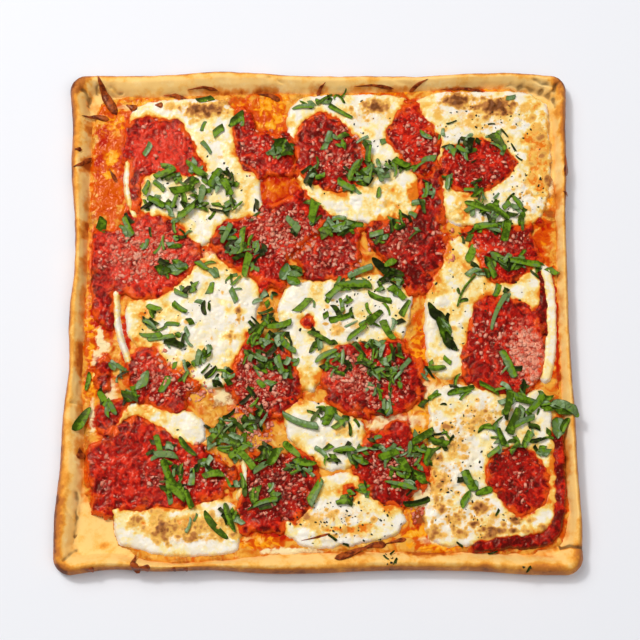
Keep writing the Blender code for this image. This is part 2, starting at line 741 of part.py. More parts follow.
def strip_mesh(middle, turn, length, width, top_at, draw):
    """A thin shred: cross sections of four points along a bent line that follows the surface."""
    share = np.linspace(-0.5, 0.5, SHRED_STATIONS)
    bend = draw.uniform(-SHRED_BEND, SHRED_BEND) * length
    along = np.array([math.cos(turn), math.sin(turn)])
    side = np.array([-along[1], along[0]])
    line = middle + np.outer(share * length, along) + np.outer(bend * (1 - 4 * share**2), side)
    taper = width * (1 - SHRED_TAPER * share**2) / 2
    curl = SHRED_CURL * np.abs(share) ** CURL_POWER * draw.uniform(*CURL_SPREAD)
    base = top_at(line) - SHRED_SINK + curl
    tilt = draw.uniform(0.0, SHRED_TILT)
    points = []
    for at, half, z in zip(line, taper, base):
        for edge, lift in ((-1, 0), (1, tilt), (1, tilt + SHRED_THICKNESS), (-1, SHRED_THICKNESS)):
            points.append((*(at + edge * half * side), z + lift))
    faces = [(3, 2, 1, 0)]
    for k in range(SHRED_STATIONS - 1):
        for i in range(4):
            j = (i + 1) % 4
            faces.append((4 * k + i, 4 * k + j, 4 * k + 4 + j, 4 * k + 4 + i))
    last = 4 * (SHRED_STATIONS - 1)
    faces.append((last, last + 1, last + 2, last + 3))
    return np.array(points), faces


def shred_plan(middle, turn, length, width):
    """Points round and along a shred's place, to test what it lies on."""
    along = np.array([math.cos(turn), math.sin(turn)])
    side = np.array([-along[1], along[0]])
    share = np.linspace(-0.5, 0.5, SHRED_CHECKS)
    line = middle + np.outer(share * length, along)
    return np.concatenate([line + side * width / 2, line - side * width / 2])


def scatter_shreds(patches):
    """Draws shreds drift by drift, the longest first, each whole within the patch it lies on."""
    draw = np.random.default_rng(SHRED_SEED)
    tries = []
    for middle, reach_x, reach_y, count in DRIFTS:
        for _ in range(count):
            radius, angle = math.sqrt(draw.uniform()), draw.uniform(0, 2 * math.pi)
            at = np.array(middle) + radius * np.array(
                [reach_x * math.cos(angle), reach_y * math.sin(angle)])
            tries.append((draw.uniform(*SHRED_LENGTH), draw.uniform(*SHRED_WIDTH),
                          draw.uniform(0, math.pi), at))
    tries.sort(key=lambda shred: -shred[0])
    placed, total = {}, 0
    for length, width, turn, at in tries:
        plan = shred_plan(at, turn, length, width)
        for name, (_, loops) in patches.items():
            whole = in_region(plan, loops).all()
            clear = whole and edge_distance(plan, loops).min() > SHRED_MARGIN
            others = [other for other, _, _, _ in placed.get(name, [])]
            crowded = any(np.linalg.norm(at - other) < SHREDS_APART for other in others)
            if clear and not crowded and total < SHREDS_AT_MOST:
                placed.setdefault(name, []).append((at, turn, length, width))
                total += 1
    for name, shreds in placed.items():
        host, _ = patches[name]
        fuse_shreds(host, shreds, draw)


def fuse_shreds(host, shreds, draw):
    """Joins the shreds to the patch they lie on by one Boolean union, which is then applied."""
    top_at = top_finder([host])
    group = bpy.data.collections.new(host.name + "_shreds")
    bpy.context.scene.collection.children.link(group)
    for number, (at, turn, length, width) in enumerate(shreds):
        points, faces = strip_mesh(at, turn, length, width, top_at, draw)
        mesh = bpy.data.meshes.new(f"{host.name}_shred_{number}")
        mesh.from_pydata(((points - (*SHIFT, 0.0)) * MM).tolist(), [], faces)
        shred = bpy.data.objects.new(mesh.name, mesh)
        group.objects.link(shred)
    union = host.modifiers.new("shreds", "BOOLEAN")
    union.operation = "UNION"
    union.operand_type = "COLLECTION"
    union.collection = group
    union.solver = "EXACT"
    bpy.context.view_layer.update()
    joined = bpy.data.meshes.new_from_object(
        host.evaluated_get(bpy.context.evaluated_depsgraph_get()))
    host.modifiers.clear()
    host.data = joined
    for shred in list(group.objects):
        bpy.data.objects.remove(shred, do_unlink=True)
    bpy.data.collections.remove(group)
    keep_largest_island(joined)


def make_leaf(name, middle, length, width, turn_degrees, wave, top_at):
    """A thin wavy leaf over what it lies on: a pointed oval grid, and the same grid above it."""
    cells_long, cells_wide = LEAF_CELLS
    u, v = np.meshgrid(np.linspace(-1, 1, cells_long + 1), np.linspace(-1, 1, cells_wide + 1),
                       indexing="ij")
    oval = np.sqrt(np.clip(1 - np.abs(u) ** LEAF_FULLNESS, 0, 1))
    half = width / 2 * (LEAF_TIP + (1 - LEAF_TIP) * oval)
    turn = math.radians(turn_degrees)
    x = middle[0] + u * length / 2 * math.cos(turn) - v * half * math.sin(turn)
    y = middle[1] + u * length / 2 * math.sin(turn) + v * half * math.cos(turn)
    plan = np.column_stack([x.ravel(), y.ravel()])
    steps = LEAF_CLEAR * np.array([(0, 0), (1, 0), (-1, 0), (0, 1), (0, -1)])
    around = [plan + step for step in steps]
    ground = np.max([top_at(points) for points in around], axis=0)
    shape = ground.reshape(u.shape)
    eased = shape.copy()
    eased[1:-1] = (shape[:-2] + 2 * shape[1:-1] + shape[2:]) / 4
    eased = np.maximum(shape, eased).ravel()
    waves_along, waves_across = LEAF_WAVES
    phase = waves_along * u.ravel() * math.pi / 2 + waves_across * v.ravel()
    ripple = wave * (0.5 + 0.5 * np.sin(phase))
    low = np.column_stack([plan, eased + 2 * GAP + ripple])
    high = low + (0, 0, LEAF_THICKNESS)
    across = cells_wide + 1
    faces, count = [], len(plan)
    for i in range(cells_long):
        for j in range(cells_wide):
            a, b = i * across + j, (i + 1) * across + j
            for tri in ((a, b, b + 1), (a, b + 1, a + 1)):
                faces.append(tuple(p + count for p in tri))
                faces.append(tri[::-1])
    for a, b in rim_edges(np.array(faces[1::2])[:, ::-1]):
        faces.append((a, b, b + count, a + count))
    return add_object(name, np.concatenate([low, high]), faces)


def main():
    clear_scene()
    solids = [make_crust()]
    base = turned_left(smooth_loop(BASE_CORNERS, BASE_SPACING))
    solids.append(patch_solid(
        "cheese_base", [base], BASE_UNDER, BASE_TOP - BASE_UNDER, BASE_ROUNDING,
        BASE_INTERIOR_SPACING, 0, lumps=0.0))
    pools = {name: turned_left(smooth_loop(c, POOL_SPACING)) for name, c in POOLS.items()}
    pools |= {n: turned_left(path_loop(p, w, POOL_SPACING)) for n, (p, w) in RUNS.items()}
    pools |= {n: round_loop(middle, radius) for n, (middle, radius) in DROPS.items()}
    strips = {n: turned_left(path_loop(p, w, POOL_SPACING)) for n, (p, w) in STRIPS.items()}
    patches = {}
    for number, (name, loop) in enumerate(pools.items()):
        solid = patch_solid(
            name, [loop], TOPPING_UNDER, POOL_RISE, POOL_ROUNDING, POOL_INTERIOR_SPACING, number)
        patches[name] = (solid, [loop])
    for number, (name, loop) in enumerate(strips.items()):
        loops = patch_region(loop, pools.values())
        patch_solid(
            name, loops, TOPPING_UNDER, SLICE_RISE, STRIP_ROUNDING, INTERIOR_SPACING, number)
    for number, (name, corners) in enumerate(SLICES.items()):
        outline = turned_left(smooth_loop(corners, SLICE_SPACING))
        loops = patch_region(outline, [*pools.values(), *strips.values()])
        solid = patch_solid(
            name, loops, TOPPING_UNDER, SLICE_RISE, SLICE_ROUNDING, INTERIOR_SPACING, number)
        patches[name] = (solid, loops)
    scatter_shreds(patches)
    top_at = top_finder([found for found in bpy.context.scene.objects if found.type == "MESH"])
    for name, (middle, length, width, turn, wave) in LEAVES.items():
        make_leaf(name, middle, length, width, turn, wave, top_at)


OUTER_LOOP = square_loop(
    (REACH_TOP, REACH_RIGHT, REACH_BOTTOM, REACH_LEFT), CORNER_REACH, OUTER_CORNER)
FOOT_LOOP = square_loop(
    (FOOT_TOP, FOOT_RIGHT, FOOT_BOTTOM, FOOT_LEFT), FOOT_CORNER_REACH, INNER_CORNER)
SHIFT = (OUTER_LOOP.min(axis=0) + OUTER_LOOP.max(axis=0)) / 2

main()
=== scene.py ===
"""Looks of a grandpa pizza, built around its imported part.

Plan places are millimetres from the middle of the pie as the photograph shows it: x to the right
and y away from the viewer. Heights are millimetres above the surface that the pie rests on.
Every mesh is made in metres in the part's own frame.
"""

import math

import bpy
import numpy as np
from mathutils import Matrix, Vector


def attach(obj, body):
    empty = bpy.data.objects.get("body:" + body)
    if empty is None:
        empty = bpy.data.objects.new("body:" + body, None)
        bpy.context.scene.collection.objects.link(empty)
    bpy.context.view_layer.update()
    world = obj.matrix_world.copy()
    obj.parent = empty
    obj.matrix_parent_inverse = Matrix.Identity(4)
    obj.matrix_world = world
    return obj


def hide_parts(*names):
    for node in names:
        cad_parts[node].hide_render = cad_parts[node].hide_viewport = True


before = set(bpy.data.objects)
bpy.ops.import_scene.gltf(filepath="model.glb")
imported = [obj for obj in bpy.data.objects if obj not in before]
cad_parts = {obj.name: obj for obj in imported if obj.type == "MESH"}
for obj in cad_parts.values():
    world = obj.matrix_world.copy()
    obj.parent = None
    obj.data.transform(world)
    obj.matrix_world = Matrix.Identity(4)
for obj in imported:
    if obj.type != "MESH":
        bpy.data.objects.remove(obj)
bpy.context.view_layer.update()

MM = 0.001
# Middle of the crust's box as seen in the photograph's frame.
PHOTO_MIDDLE = np.array([-0.2, 2.0])

# Heights in millimetres.
FLOOR_TOP = 7.0
RIM_TOP = 17.0
BASE_TOP = 9.5
BASE_EDGE = FLOOR_TOP + 0.2
BASE_UNDER = FLOOR_TOP - 0.6
SHEET_UNDER = 9.0
MELT_FOOT = BASE_TOP - 0.3
SLICE_TOP = 12.5
POOL_TOP = 13.0

# Points of the noise's lattice before it repeats, and its shift off the middle.
LATTICE = 128
LATTICE_SHIFT = (37.3, 51.7)

# The fields that shape the cheese and the sauce share one grid.
PITCH = 0.7
FIELD_REACH = 206.0

# How much higher than its lowest point a node's flat underside may lie.
UNDERSIDE_SLACK = 0.05

# How far beyond its node's outline a sheet spills, how much wider the folded edges have melted, how
# wide a gap the sauce fills from each side, and the distance that stands for far away.
SPILL = 0.6
FOLD_GROWTH = {"mozzarella_fold_east": 1.6, "mozzarella_fold_west": 0.5}
OTHER_FOLD_GROWTH = 0.5
SPREAD = 4.5
FAR = -14.0

# Nodes whose names start so are shown as melted sheets.
SHEET_KINDS = ("mozzarella", "sauce", "tomato")

# Waves of each surface: height, length and seed.
RIM_SWELL = ((0.75, 26, 11), (0.45, 11, 12), (0.22, 4.5, 13))
RIM_FOOT_WANDER = ((1.3, 12, 86), (0.6, 5, 87))
MELT_WANDER_X = ((1.3, 8.0, 31), (0.8, 3.2, 33))
MELT_WANDER_Y = ((1.3, 8.0, 32), (0.8, 3.2, 34))
CHEESE_WAVES = ((0.7, 17, 41), (0.4, 6.5, 42), (0.14, 2.6, 43))
SAUCE_WAVES = ((0.8, 16, 54), (0.2, 2.4, 55))
BASE_WAVES = ((0.3, 9, 61), (0.16, 3, 62))
LUMP_LENGTH, LUMP_SEED = 7.0, 51

# Melted edges of the cheese: how far they fall beside sauce and how much further elsewhere, over
# what width, the slope beyond the outline, and the height, place and width of the lip behind it.
EDGE_FALL, OPEN_EDGE_FALL, EDGE_WIDTH = 0.65, 0.75, 1.4
OPEN_EDGE = (1.5, 5)
OVERHANG_SLOPE = 0.9
LIP_HEIGHT, LIP_PLACE, LIP_WIDTH = 0.12, 2.2, 1.2
FOLD_RISE, FOLD_EDGE = 0.3, (0, 1.6)

# How far orange oil and red juice spread on the cheese and the base, and how wide the pools' oily
# shore is and how far they fall there.
HALO_REACH, HALO_WANDER, HALO_LEAST = 2.6, 2.2, 0.8
JUICE_REACH = 1.2
BASE_HALO_REACH = 3.0
COAST_REACH = 4.0
SHORE_FALL = 0.5

# Radii that blur where any sheet is and where a pool is, and the shares of the blurred cover over
# which sheets rise from the base and pools leave their shore.
COVER_BLUR, COVER_RISE = 1.4, (0.22, 0.94)
POOL_BLUR, POOL_RISE = 1.3, (0.5, 1.0)

# Waves of a spot's outline, and where it starts and ends to fade in, both in its reaches.
SPOT_WAVES = ((0.35, 5.0, 71), (0.2, 2.2, 72))
SPOT_FADE = (1.35, 0.25)

# Reach of the crust's outer edge and of the foot of its inner slope, at nine stations a side: far
# side first, then right, near and left.
STATION_REACH = 160.0
REACH = (
    (200.6, 201.3, 204.4, 202.0, 200.0, 200.2, 199.6, 202.0, 202.4),
    (199.0, 198.4, 196.4, 196.2, 196.0, 196.8, 198.4, 199.0, 200.6),
    (200.0, 197.4, 196.8, 197.2, 199.0, 199.2, 196.6, 197.6, 196.4),
    (201.0, 198.0, 197.0, 193.6, 195.0, 192.0, 193.2, 197.2, 197.6),
)
FOOT = (
    (181.0, 182.0, 184.0, 185.5, 184.0, 184.5, 185.5, 188.5, 188.0),
    (188.0, 188.5, 188.0, 187.5, 187.5, 188.0, 188.5, 189.0, 189.5),
    (185.0, 183.5, 183.0, 182.5, 183.5, 185.0, 190.0, 190.5, 184.0),
    (182.0, 178.5, 180.5, 182.5, 182.0, 181.5, 181.5, 182.0, 181.5),
)
CORNER_REACH = 200.4
OUTER_CORNER = 13.0
FOOT_CORNER_REACH = 185.5
INNER_CORNER = 9.0
SIDE_STEPS = 360
CORNER_STEPS = 34
PROFILE_STEPS = 46
# The rim's profile from the underside over the top to the foot: share of its width, and height.
# Waves and folds start above its steady height.
RIM_WIDTH = 15.0
RIM_STEADY = 2.2
RIM_PROFILE = (
    (0.18, 0.0), (0.03, RIM_STEADY), (0.0, 6.0), (0.06, 11.0), (0.19, 15.3), (0.36, RIM_TOP),
    (0.58, 15.1), (0.82, 11.0), (1.0, FLOOR_TOP),
)
# Middles and fading radii of the corner that has no cheese, on the dough and for the base.
BARE_CORNER, BARE_FADE = (-168, -168), (34, 18)
BASE_BARE_CORNER, BASE_BARE_FADE = (-166, -170), (16, 40)

# How much the base reaches past its node's outline to the foot of the rim, and how much less at the
# right side near the far corner.
BASE_REACH, BASE_REACH_LOST = 5.5, 3.5

# How well the parts of the dough are baked: all of it, the outer wall, the crown, the far side's
# outer edge and the underside, then what scorches and noise add, and how much paler the far side
# and the inner slopes are. On the far side and the left inner slope that paleness is partly paler
# dough and partly painted light, which brightens slopes that face away from the lamps.
BAKE, WALL_BAKE, CROWN_BAKE, FAR_EDGE_BAKE, UNDERSIDE_BAKE = 0.02, 0.62, 0.18, 0.34, 0.55
SCORCH_BAKE, BAKE_WANDER, FAR_SIDE_PALER_AND_PAINTED_LIGHT = 1.05, 0.34, 0.18
LEFT_PALER_AND_PAINTED_LIGHT, RIGHT_PALER, FAR_PALER_AND_PAINTED_LIGHT, NEAR_PALER = 0.24, 0.26, 0.06, 0.06

# Stretches, outwards from the middle, over which parts of the rim and the base set in: of x for the
# left and right ones and of y for the far and near ones.
LEFT_RIGHT = (165, 180)
FAR_NEAR = (170, 182)
FAR_EDGE = (175, 190)
FAR_PART = (95, 120)
RIGHT_RIM = (160, 180)
RIGHT_BASE = (150, 170)

# Rings of the floor inside the foot, as shares of its loop.
FLOOR_SHRINKS = (0.985, 0.965, 0.94, 0.91, 0.87, 0.82)

# Folds pressed into the rim: start, end, half width and depth. The depth also darkens them as
# painted shade.
FOLDS = (
    ((-190, 186), (-181, 174), 1.8, 2.8), ((-184, 180), (-176, 190), 1.6, 2.4),
    ((-184, 168), (-178, 174), 1.8, 2.0), ((-168, 188), (-158, 184), 1.8, 2.0),
    ((-176, 186), (-166, 183), 1.4, 1.4), ((-190, -70), (-180, -70), 1.6, 1.6),
    ((-184, -138), (-183, -158), 1.3, 2.4), ((-183, -158), (-185, -172), 1.5, 2.8),
    ((-185, -172), (-181, -182), 1.4, 2.6), ((-182, -180), (-191, -190), 1.6, 2.4),
    ((-178, -184), (-162, -185), 1.6, 0.8), ((-186, -160), (-192, -150), 1.2, 1.4),
    ((-42, 197), (-27, 192), 1.6, 1.6), ((162, 190), (180, 186), 1.8, 2.6),
    ((180, 187), (190, 178), 1.8, 2.6), ((174, 194), (188, 190), 1.6, 2.2),
    ((190, 172), (190, 190), 1.6, 2.2), ((150, 190), (166, 192), 1.3, 1.6),
    ((186, 184), (194, 192), 1.4, 1.8), ((-186, 176), (-176, 168), 1.2, 1.8),
    ((-180, 184), (-170, 178), 1.2, 1.6), ((190, -138), (185, -162), 1.4, 2.0),
    ((178, -181), (203, -180), 1.3, 5.0), ((-30, -190), (-10, -187), 1.4, 0.8),
    ((-150, -185), (-110, -188), 1.4, 1.0), ((60, 194), (76, 190), 1.4, 0.8),
    ((-193, 20), (-184, 12), 1.4, 0.8),
)

# Well baked places on the rim: middle, reach and strength.
SCORCHES = (
    ((-194, 193), (12, 13), 1.05), ((-197, 165), (5, 26), 0.6), ((-190, 150), (6, 14), 0.35),
    ((-196, 120), (4, 20), 0.5), ((-194, 60), (4, 34), 0.5), ((-196, 0), (4, 30), 0.5),
    ((-197, -60), (4, 30), 0.55), ((-199, -120), (4, 30), 0.6), ((-199, -170), (4, 22), 0.7),
    ((-195, -196), (12, 6), 0.6), ((-181.5, -109), (3, 4.5), 1.0), ((-150, 201), (40, 3), 0.7),
    ((-80, 204), (24, 3), 0.8), ((-20, 201), (34, 3), 0.6), ((60, 200), (50, 3), 0.6),
    ((150, 202), (46, 4), 0.75), ((194, 190), (9, 14), 0.85), ((-198, -160), (7, 34), 0.6),
    ((-160, -178), (8, 3), 0.8), ((196, 150), (4, 34), 0.6), ((194, 167), (8, 10), 0.5),
    ((197, 90), (3, 30), 0.6), ((197, 30), (3, 34), 0.5), ((198, -40), (3, 34), 0.5),
    ((199, -110), (3, 34), 0.6), ((196, -187), (9, 10), 0.6), ((168, -195), (24, 5), 0.45),
    ((120, -194), (16, 5), 0.45), ((60, -197), (34, 3), 0.5), ((-20, -198), (40, 2.5), 0.5),
    ((-90, -198), (34, 3), 0.6), ((-150, -198), (26, 3), 0.6), ((190, -180.5), (14, 1.4), 1.0),
)

# Pale dough folded into the corners: middle, reach and strength.
PALE_FOLDS = (
    ((-172, 178), (14, 10), 1.0), ((176, 183), (15, 9), 1.0), ((-180, -160), (7, 18), 0.8),
    ((186, 150), (3, 30), 0.4), ((-182, 100), (4, 14), 0.6), ((-183, -130), (4, 20), 0.6),
    ((-12, 192), (14, 4), 0.5), ((130, -189), (56, 5), 0.8), ((192, 20), (4, 40), 0.4),
    ((194, -130), (5, 44), 0.7), ((-30, -192), (50, 4), 0.4), ((-100, 193), (30, 3), 0.5),
)

# Oil and tomato baked onto the rim: middle, reach and strength.
RIM_STAINS = (
    ((-90, 187), (20, 3.4), 0.55), ((-62, 187), (8, 2.6), 0.5), ((-40, 186), (14, 4.5), 0.65),
    ((34, 188), (12, 3), 0.5), ((60, 188), (16, 3), 0.55), ((108, 187), (14, 3.4), 0.65),
    ((134, 187), (14, 2.8), 0.5), ((-184, 155), (5, 7), 0.7), ((-185, 124), (6, 9), 0.95),
    ((-184, 90), (3.4, 14), 0.4), ((-184, 70), (5, 9), 0.8), ((-184, 40), (4, 9), 0.6),
    ((-184, 10), (3.4, 18), 0.5), ((-184, -34), (5, 20), 0.8), ((-183, -76), (4.5, 14), 0.5),
    ((-183, -106), (4.5, 16), 0.55), ((190, 60), (5, 20), 0.3), ((0, 189), (10, 4), 0.5),
    ((-177, -148), (4, 10), 0.8), ((82, -184), (22, 4), 0.9), ((26, -184), (14, 4), 0.9),
    ((190, 96), (5, 14), 0.6), ((190, 140), (5, 26), 0.35), ((190, 128), (3, 5), 0.8),
    ((190, 156), (3, 5), 0.5), ((190, 10), (4, 30), 0.4), ((190, -110), (4, 30), 0.5),
    ((0, 188), (8, 3), 0.5), ((-45, -184), (14, 3), 0.4),
)

# Browned blisters on the cheese: middle, reach and strength.
BLISTERS = (
    ((-91, 170), (19, 7), 1.3), ((-118, 172), (10, 4), 0.5), ((-76, 176), (8, 3), 0.7),
    ((46, 173), (12, 7), 1.25), ((30, 166), (5, 3), 0.4), ((-4, 158), (5, 3), 0.3),
    ((112, 178), (14, 7), 1.5), ((142, 173), (19, 8), 1.5), ((166, 172), (8, 5), 0.5),
    ((176, 150), (6, 10), 0.5), ((183, 111), (5, 6), 1.1), ((184, 158), (3, 5), 0.7),
    ((186, 124), (3, 3), 0.8), ((182, 84), (5, 6), 0.8), ((184, 98), (3, 3), 0.6),
    ((180, 132), (4, 5), 0.7), ((120, 158), (12, 6), 0.35), ((96, 168), (6, 6), 0.4),
    ((-118, -168), (10, 9), 0.9), ((-110, -164), (6, 5), 0.6), ((-79, -166), (4, 4), 0.7),
    ((-96, -174), (7, 3), 0.7), ((-138, -160), (5, 5), 0.5), ((-95, -158), (10, 4), 0.35),
    ((-2, -160), (12, 8), 0.45), ((10, -172), (10, 3), 0.3), ((30, -171), (14, 3), 0.3),
    ((121, -153), (4, 4), 0.9), ((117, -163), (5, 3), 0.9), ((130, -171), (7, 3), 1.0),
    ((140, -163), (3, 3), 0.8), ((147, -168), (5, 3), 0.9), ((170, -165), (4, 3), 0.8),
    ((157, -168), (4, 2), 0.8), ((102, -160), (8, 6), 0.6), ((90, -170), (6, 5), 0.6),
    ((93, -150), (6, 8), 0.5), ((96, -130), (8, 12), 0.45), ((104, -100), (14, 12), 0.35),
    ((122, -80), (18, 10), 0.3), ((-55, -90), (14, 16), 0.8), ((-64, -64), (10, 6), 0.8),
    ((-78, -70), (8, 5), 0.7), ((76, -157), (5, 8), 1.0), ((18, -90), (8, 5), 0.5),
    ((15, -10), (8, 5), 0.5), ((28, -8), (6, 4), 0.4), ((-62, 2), (2, 10), 0.6),
    ((-68, -18), (2, 8), 0.5), ((72, -8), (4, 12), 0.6), ((125, -160), (36, 13), 0.2),
    ((140, 166), (38, 14), 0.25), ((30, 166), (34, 10), 0.2), ((166, 112), (18, 22), 0.15),
    ((20, -156), (32, 6), 0.2), ((-100, -166), (42, 12), 0.3), ((92, -130), (9, 26), 0.2),
    ((124, -150), (8, 6), 1.0), ((134, -168), (10, 4), 1.1), ((150, -160), (6, 4), 0.9),
    ((108, -170), (7, 4), 0.8), ((52, 92), (5, 4), 0.3), ((100, -88), (5, 4), 0.7),
    ((112, -104), (4, 4), 0.6), ((92, -112), (4, 6), 0.7),
)

# Yellow and orange oil on the cheese: middle, reach and strength.
OIL_POOLS = (
    ((-98, -36), (10, 12), 0.6), ((115, 40), (24, 20), 0.5), ((95, 28), (10, 18), 0.4),
    ((115, 86), (10, 14), 0.45), ((60, 92), (14, 16), 0.7), ((45, 90), (12, 10), 0.6),
    ((74, 99), (5, 10), 1.2), ((49, 79), (3, 4), 1.1), ((10, 98), (14, 6), 0.4),
    ((-115, 74), (18, 8), 0.5), ((-60, 96), (10, 12), 0.25), ((178, -120), (4, 24), 0.45),
    ((-135, -76), (20, 6), 0.5), ((-140, 4), (10, 12), 0.55), ((-132, -16), (14, 12), 0.5),
    ((-78, 38), (14, 8), 0.4), ((-8, -46), (8, 14), 0.5), ((24, -137), (14, 8), 0.35),
    ((-5, -165), (14, 10), 0.4), ((95, -50), (16, 6), 0.45), ((88, -110), (6, 40), 0.35),
    ((175, 134), (12, 42), 0.95), ((150, 160), (22, 10), 0.2), ((100, 60), (8, 10), 0.35),
    ((-120, -150), (30, 4), 0.6), ((-100, -164), (40, 9), 0.6), ((52, -152), (14, 5), 0.35),
    ((105, 0), (10, 24), 0.3), ((20, -167), (18, 3), 1.4), ((35, -165), (8, 3), 1.2),
    ((-112, -2), (16, 14), 0.35), ((40, 84), (20, 5), 0.3), ((-20, 100), (6, 12), 0.3),
    ((40, 24), (20, 5), 0.25),
)

# Sauce under grated cheese, paler and pinker: middle, reach and strength.
PALE_POOLS = (
    ((-132, 50), (42, 26), 1.0), ((-30, 70), (26, 16), 0.7), ((60, 62), (22, 16), 0.4),
    ((162, -32), (15, 26), 2.6), ((140, -30), (12, 16), 0.4), ((24, -46), (24, 20), 0.8),
    ((-44, -50), (22, 20), 0.6), ((-125, -46), (20, 14), 0.6), ((-110, -124), (24, 16), 0.35),
    ((-30, -132), (20, 20), 0.3), ((60, -112), (16, 14), 0.5), ((12, 136), (22, 24), 0.3),
    ((-128, 140), (24, 20), 0.35), ((126, 122), (20, 14), 0.25), ((150, 56), (18, 10), 0.35),
    ((14, 50), (20, 12), 0.35), ((80, 144), (12, 16), 0.3), ((152, -132), (16, 16), 0.2),
)

# Deeper and brighter sauce: middle, reach, then deep and bright strength.
SAUCE_TONES = (
    ((-125, 140), (30, 26), 0.0, 0.8), ((-140, 48), (40, 30), 0.0, 0.4),
    ((70, 55), (32, 38), 0.45, 0.0), ((92, 100), (10, 24), 0.4, 0.0),
    ((155, -132), (28, 30), 0.1, 0.0), ((150, -178), (44, 8), 0.45, 0.0),
    ((184, -140), (6, 50), 0.45, 0.0), ((60, -122), (26, 30), 0.4, 0.0),
    ((-36, -136), (28, 32), 0.55, 0.0), ((-45, -52), (26, 34), 0.3, 0.0),
    ((10, 132), (30, 32), 0.2, 0.0), ((162, -30), (16, 30), 0.0, 0.5),
    ((-62, 60), (16, 14), 0.0, 0.4), ((-150, -130), (20, 24), 0.0, 0.3),
    ((76, 145), (16, 20), 0.0, 0.3), ((30, -50), (30, 24), 0.15, 0.0),
    ((176, 10), (3, 50), 0.8, 0.0),
)

# Colours of the layer under the squares: middle, reach, then red, orange and yellow strength.
BASE_ZONES = (
    ((-163, 165), (17, 14), 0.2, 0.7, 0.5), ((-166, 118), (17, 48), 0.35, 1.0, 0.0),
    ((-172, 148), (6, 12), 1.0, 1.0, 0.0), ((-175, 125), (4, 14), 0.9, 1.0, 0.0),
    ((-165, 130), (6, 7), 0.0, 0.0, 1.0), ((-166, 116), (5, 6), 0.0, 0.0, 0.8),
    ((-140, 176), (22, 5), 0.2, 0.6, 0.8), ((-38, 168), (16, 20), 0.1, 0.85, 0.75),
    ((-60, 176), (12, 8), 0.3, 0.8, 0.3), ((-32, 102), (18, 20), 0.5, 1.0, 0.1),
    ((-90, 54), (10, 6), 0.3, 0.7, 0.3), ((80, -20), (8, 24), 0.2, 0.6, 0.5),
    ((179, 64), (7, 14), 0.35, 0.8, 0.2), ((-175, -25), (7, 60), 0.1, 0.7, 0.7),
    ((-172, 10), (7, 30), 0.7, 0.6, 0.0), ((-163, -6), (6, 18), 0.8, 1.1, 0.0),
    ((-150, -16), (4, 22), 1.2, 1.0, 0.0), ((186, -16), (2.2, 50), 1.3, 0.3, 0.0),
    ((76, -157), (6, 9), 1.5, 1.0, 0.0), ((76, -169), (14, 5), 0.2, 1.1, 0.8),
    ((-28, -172), (20, 4), 0.4, 1.0, 0.0), ((-45, -176), (20, 6), 0.1, 0.7, 0.7),
    ((90, -178), (24, 6), 0.0, 0.5, 0.9), ((84, -126), (20, 60), 0.0, 0.0, 1.0),
    ((80, -60), (16, 12), 0.1, 0.5, 0.9), ((-50, -84), (22, 24), 0.25, 0.3, 0.3),
    ((75, -158), (6, 10), 0.5, 0.5, 0.0), ((100, 120), (14, 18), 0.9, 0.6, 0.0),
    ((-168, -70), (8, 30), 0.2, 0.4, 0.3), ((182, 140), (8, 34), 0.0, 0.2, 1.1),
    ((182, 96), (6, 14), 0.1, 0.5, 0.8), ((50, 185), (26, 3), 0.1, 0.6, 0.6),
    ((120, 187), (26, 3), 0.2, 0.6, 0.6), ((183, 0), (4, 60), 0.3, 0.5, 0.1),
    ((185, -110), (3, 60), 0.3, 0.5, 0.1),
)

# Pale cheese that spread between the squares: middle, reach and strength.
PALE_GAPS = (
    ((80, -124), (13, 34), 1.0), ((84, -58), (14, 9), 0.8), ((92, -175), (24, 5), 0.7),
    ((-50, -175), (14, 5), 0.4), ((89, -146), (7, 10), 0.8), ((-20, -183), (26, 3.2), 1.4),
    ((60, -84), (26, 8), 0.8), ((-86, 52), (12, 8), 0.5), ((40, -86), (8, 6), 0.6),
    ((-150, 174), (16, 5), 0.5), ((88, 172), (8, 10), 1.0), ((-34, -92), (8, 10), 0.4),
    ((184, 130), (5, 40), 1.2), ((-72, -64), (16, 9), 0.8), ((-58, -86), (12, 10), 0.6),
    ((-160, -60), (6, 14), 0.7), ((-176, -30), (4, 30), 0.2), ((-170, -18), (3.0, 9), 1.6),
    ((-166, -24), (4.5, 6), 1.4), ((-171, -34), (5, 8), 1.0), ((-174, -80), (3.5, 18), 0.9),
)

# Small browned dapples on the cheese: middle, reach and how many.
DAPPLES = (
    ((102, -110), (18, 52), 120), ((130, -165), (46, 9), 66), ((125, -80), (28, 16), 66),
    ((120, -150), (36, 22), 70), ((88, -140), (10, 40), 60), ((150, -80), (22, 14), 12),
    ((176, 130), (9, 44), 44), ((130, 162), (40, 13), 34), ((168, 100), (16, 16), 26),
    ((30, 166), (34, 14), 20), ((60, 98), (16, 16), 6), ((-95, 166), (28, 10), 20),
    ((-70, 140), (14, 26), 8), ((-70, -10), (14, 28), 18), ((-102, 0), (36, 40), 16),
    ((20, -4), (36, 18), 18), ((15, -160), (36, 12), 34), ((-100, -166), (44, 14), 50),
    ((105, -10), (14, 34), 6), ((-95, 90), (34, 18), 14), ((-60, -86), (18, 22), 30),
    ((16, -92), (18, 12), 14), ((76, -155), (8, 12), 12), ((150, 20), (26, 18), 10),
    ((150, 84), (30, 8), 10), ((-8, -45), (7, 16), 6), ((-118, -160), (26, 10), 44),
    ((-80, -166), (24, 9), 34),
)
DAPPLE_SIZE = (0.9, 4.0)
DAPPLE_SEED = 92

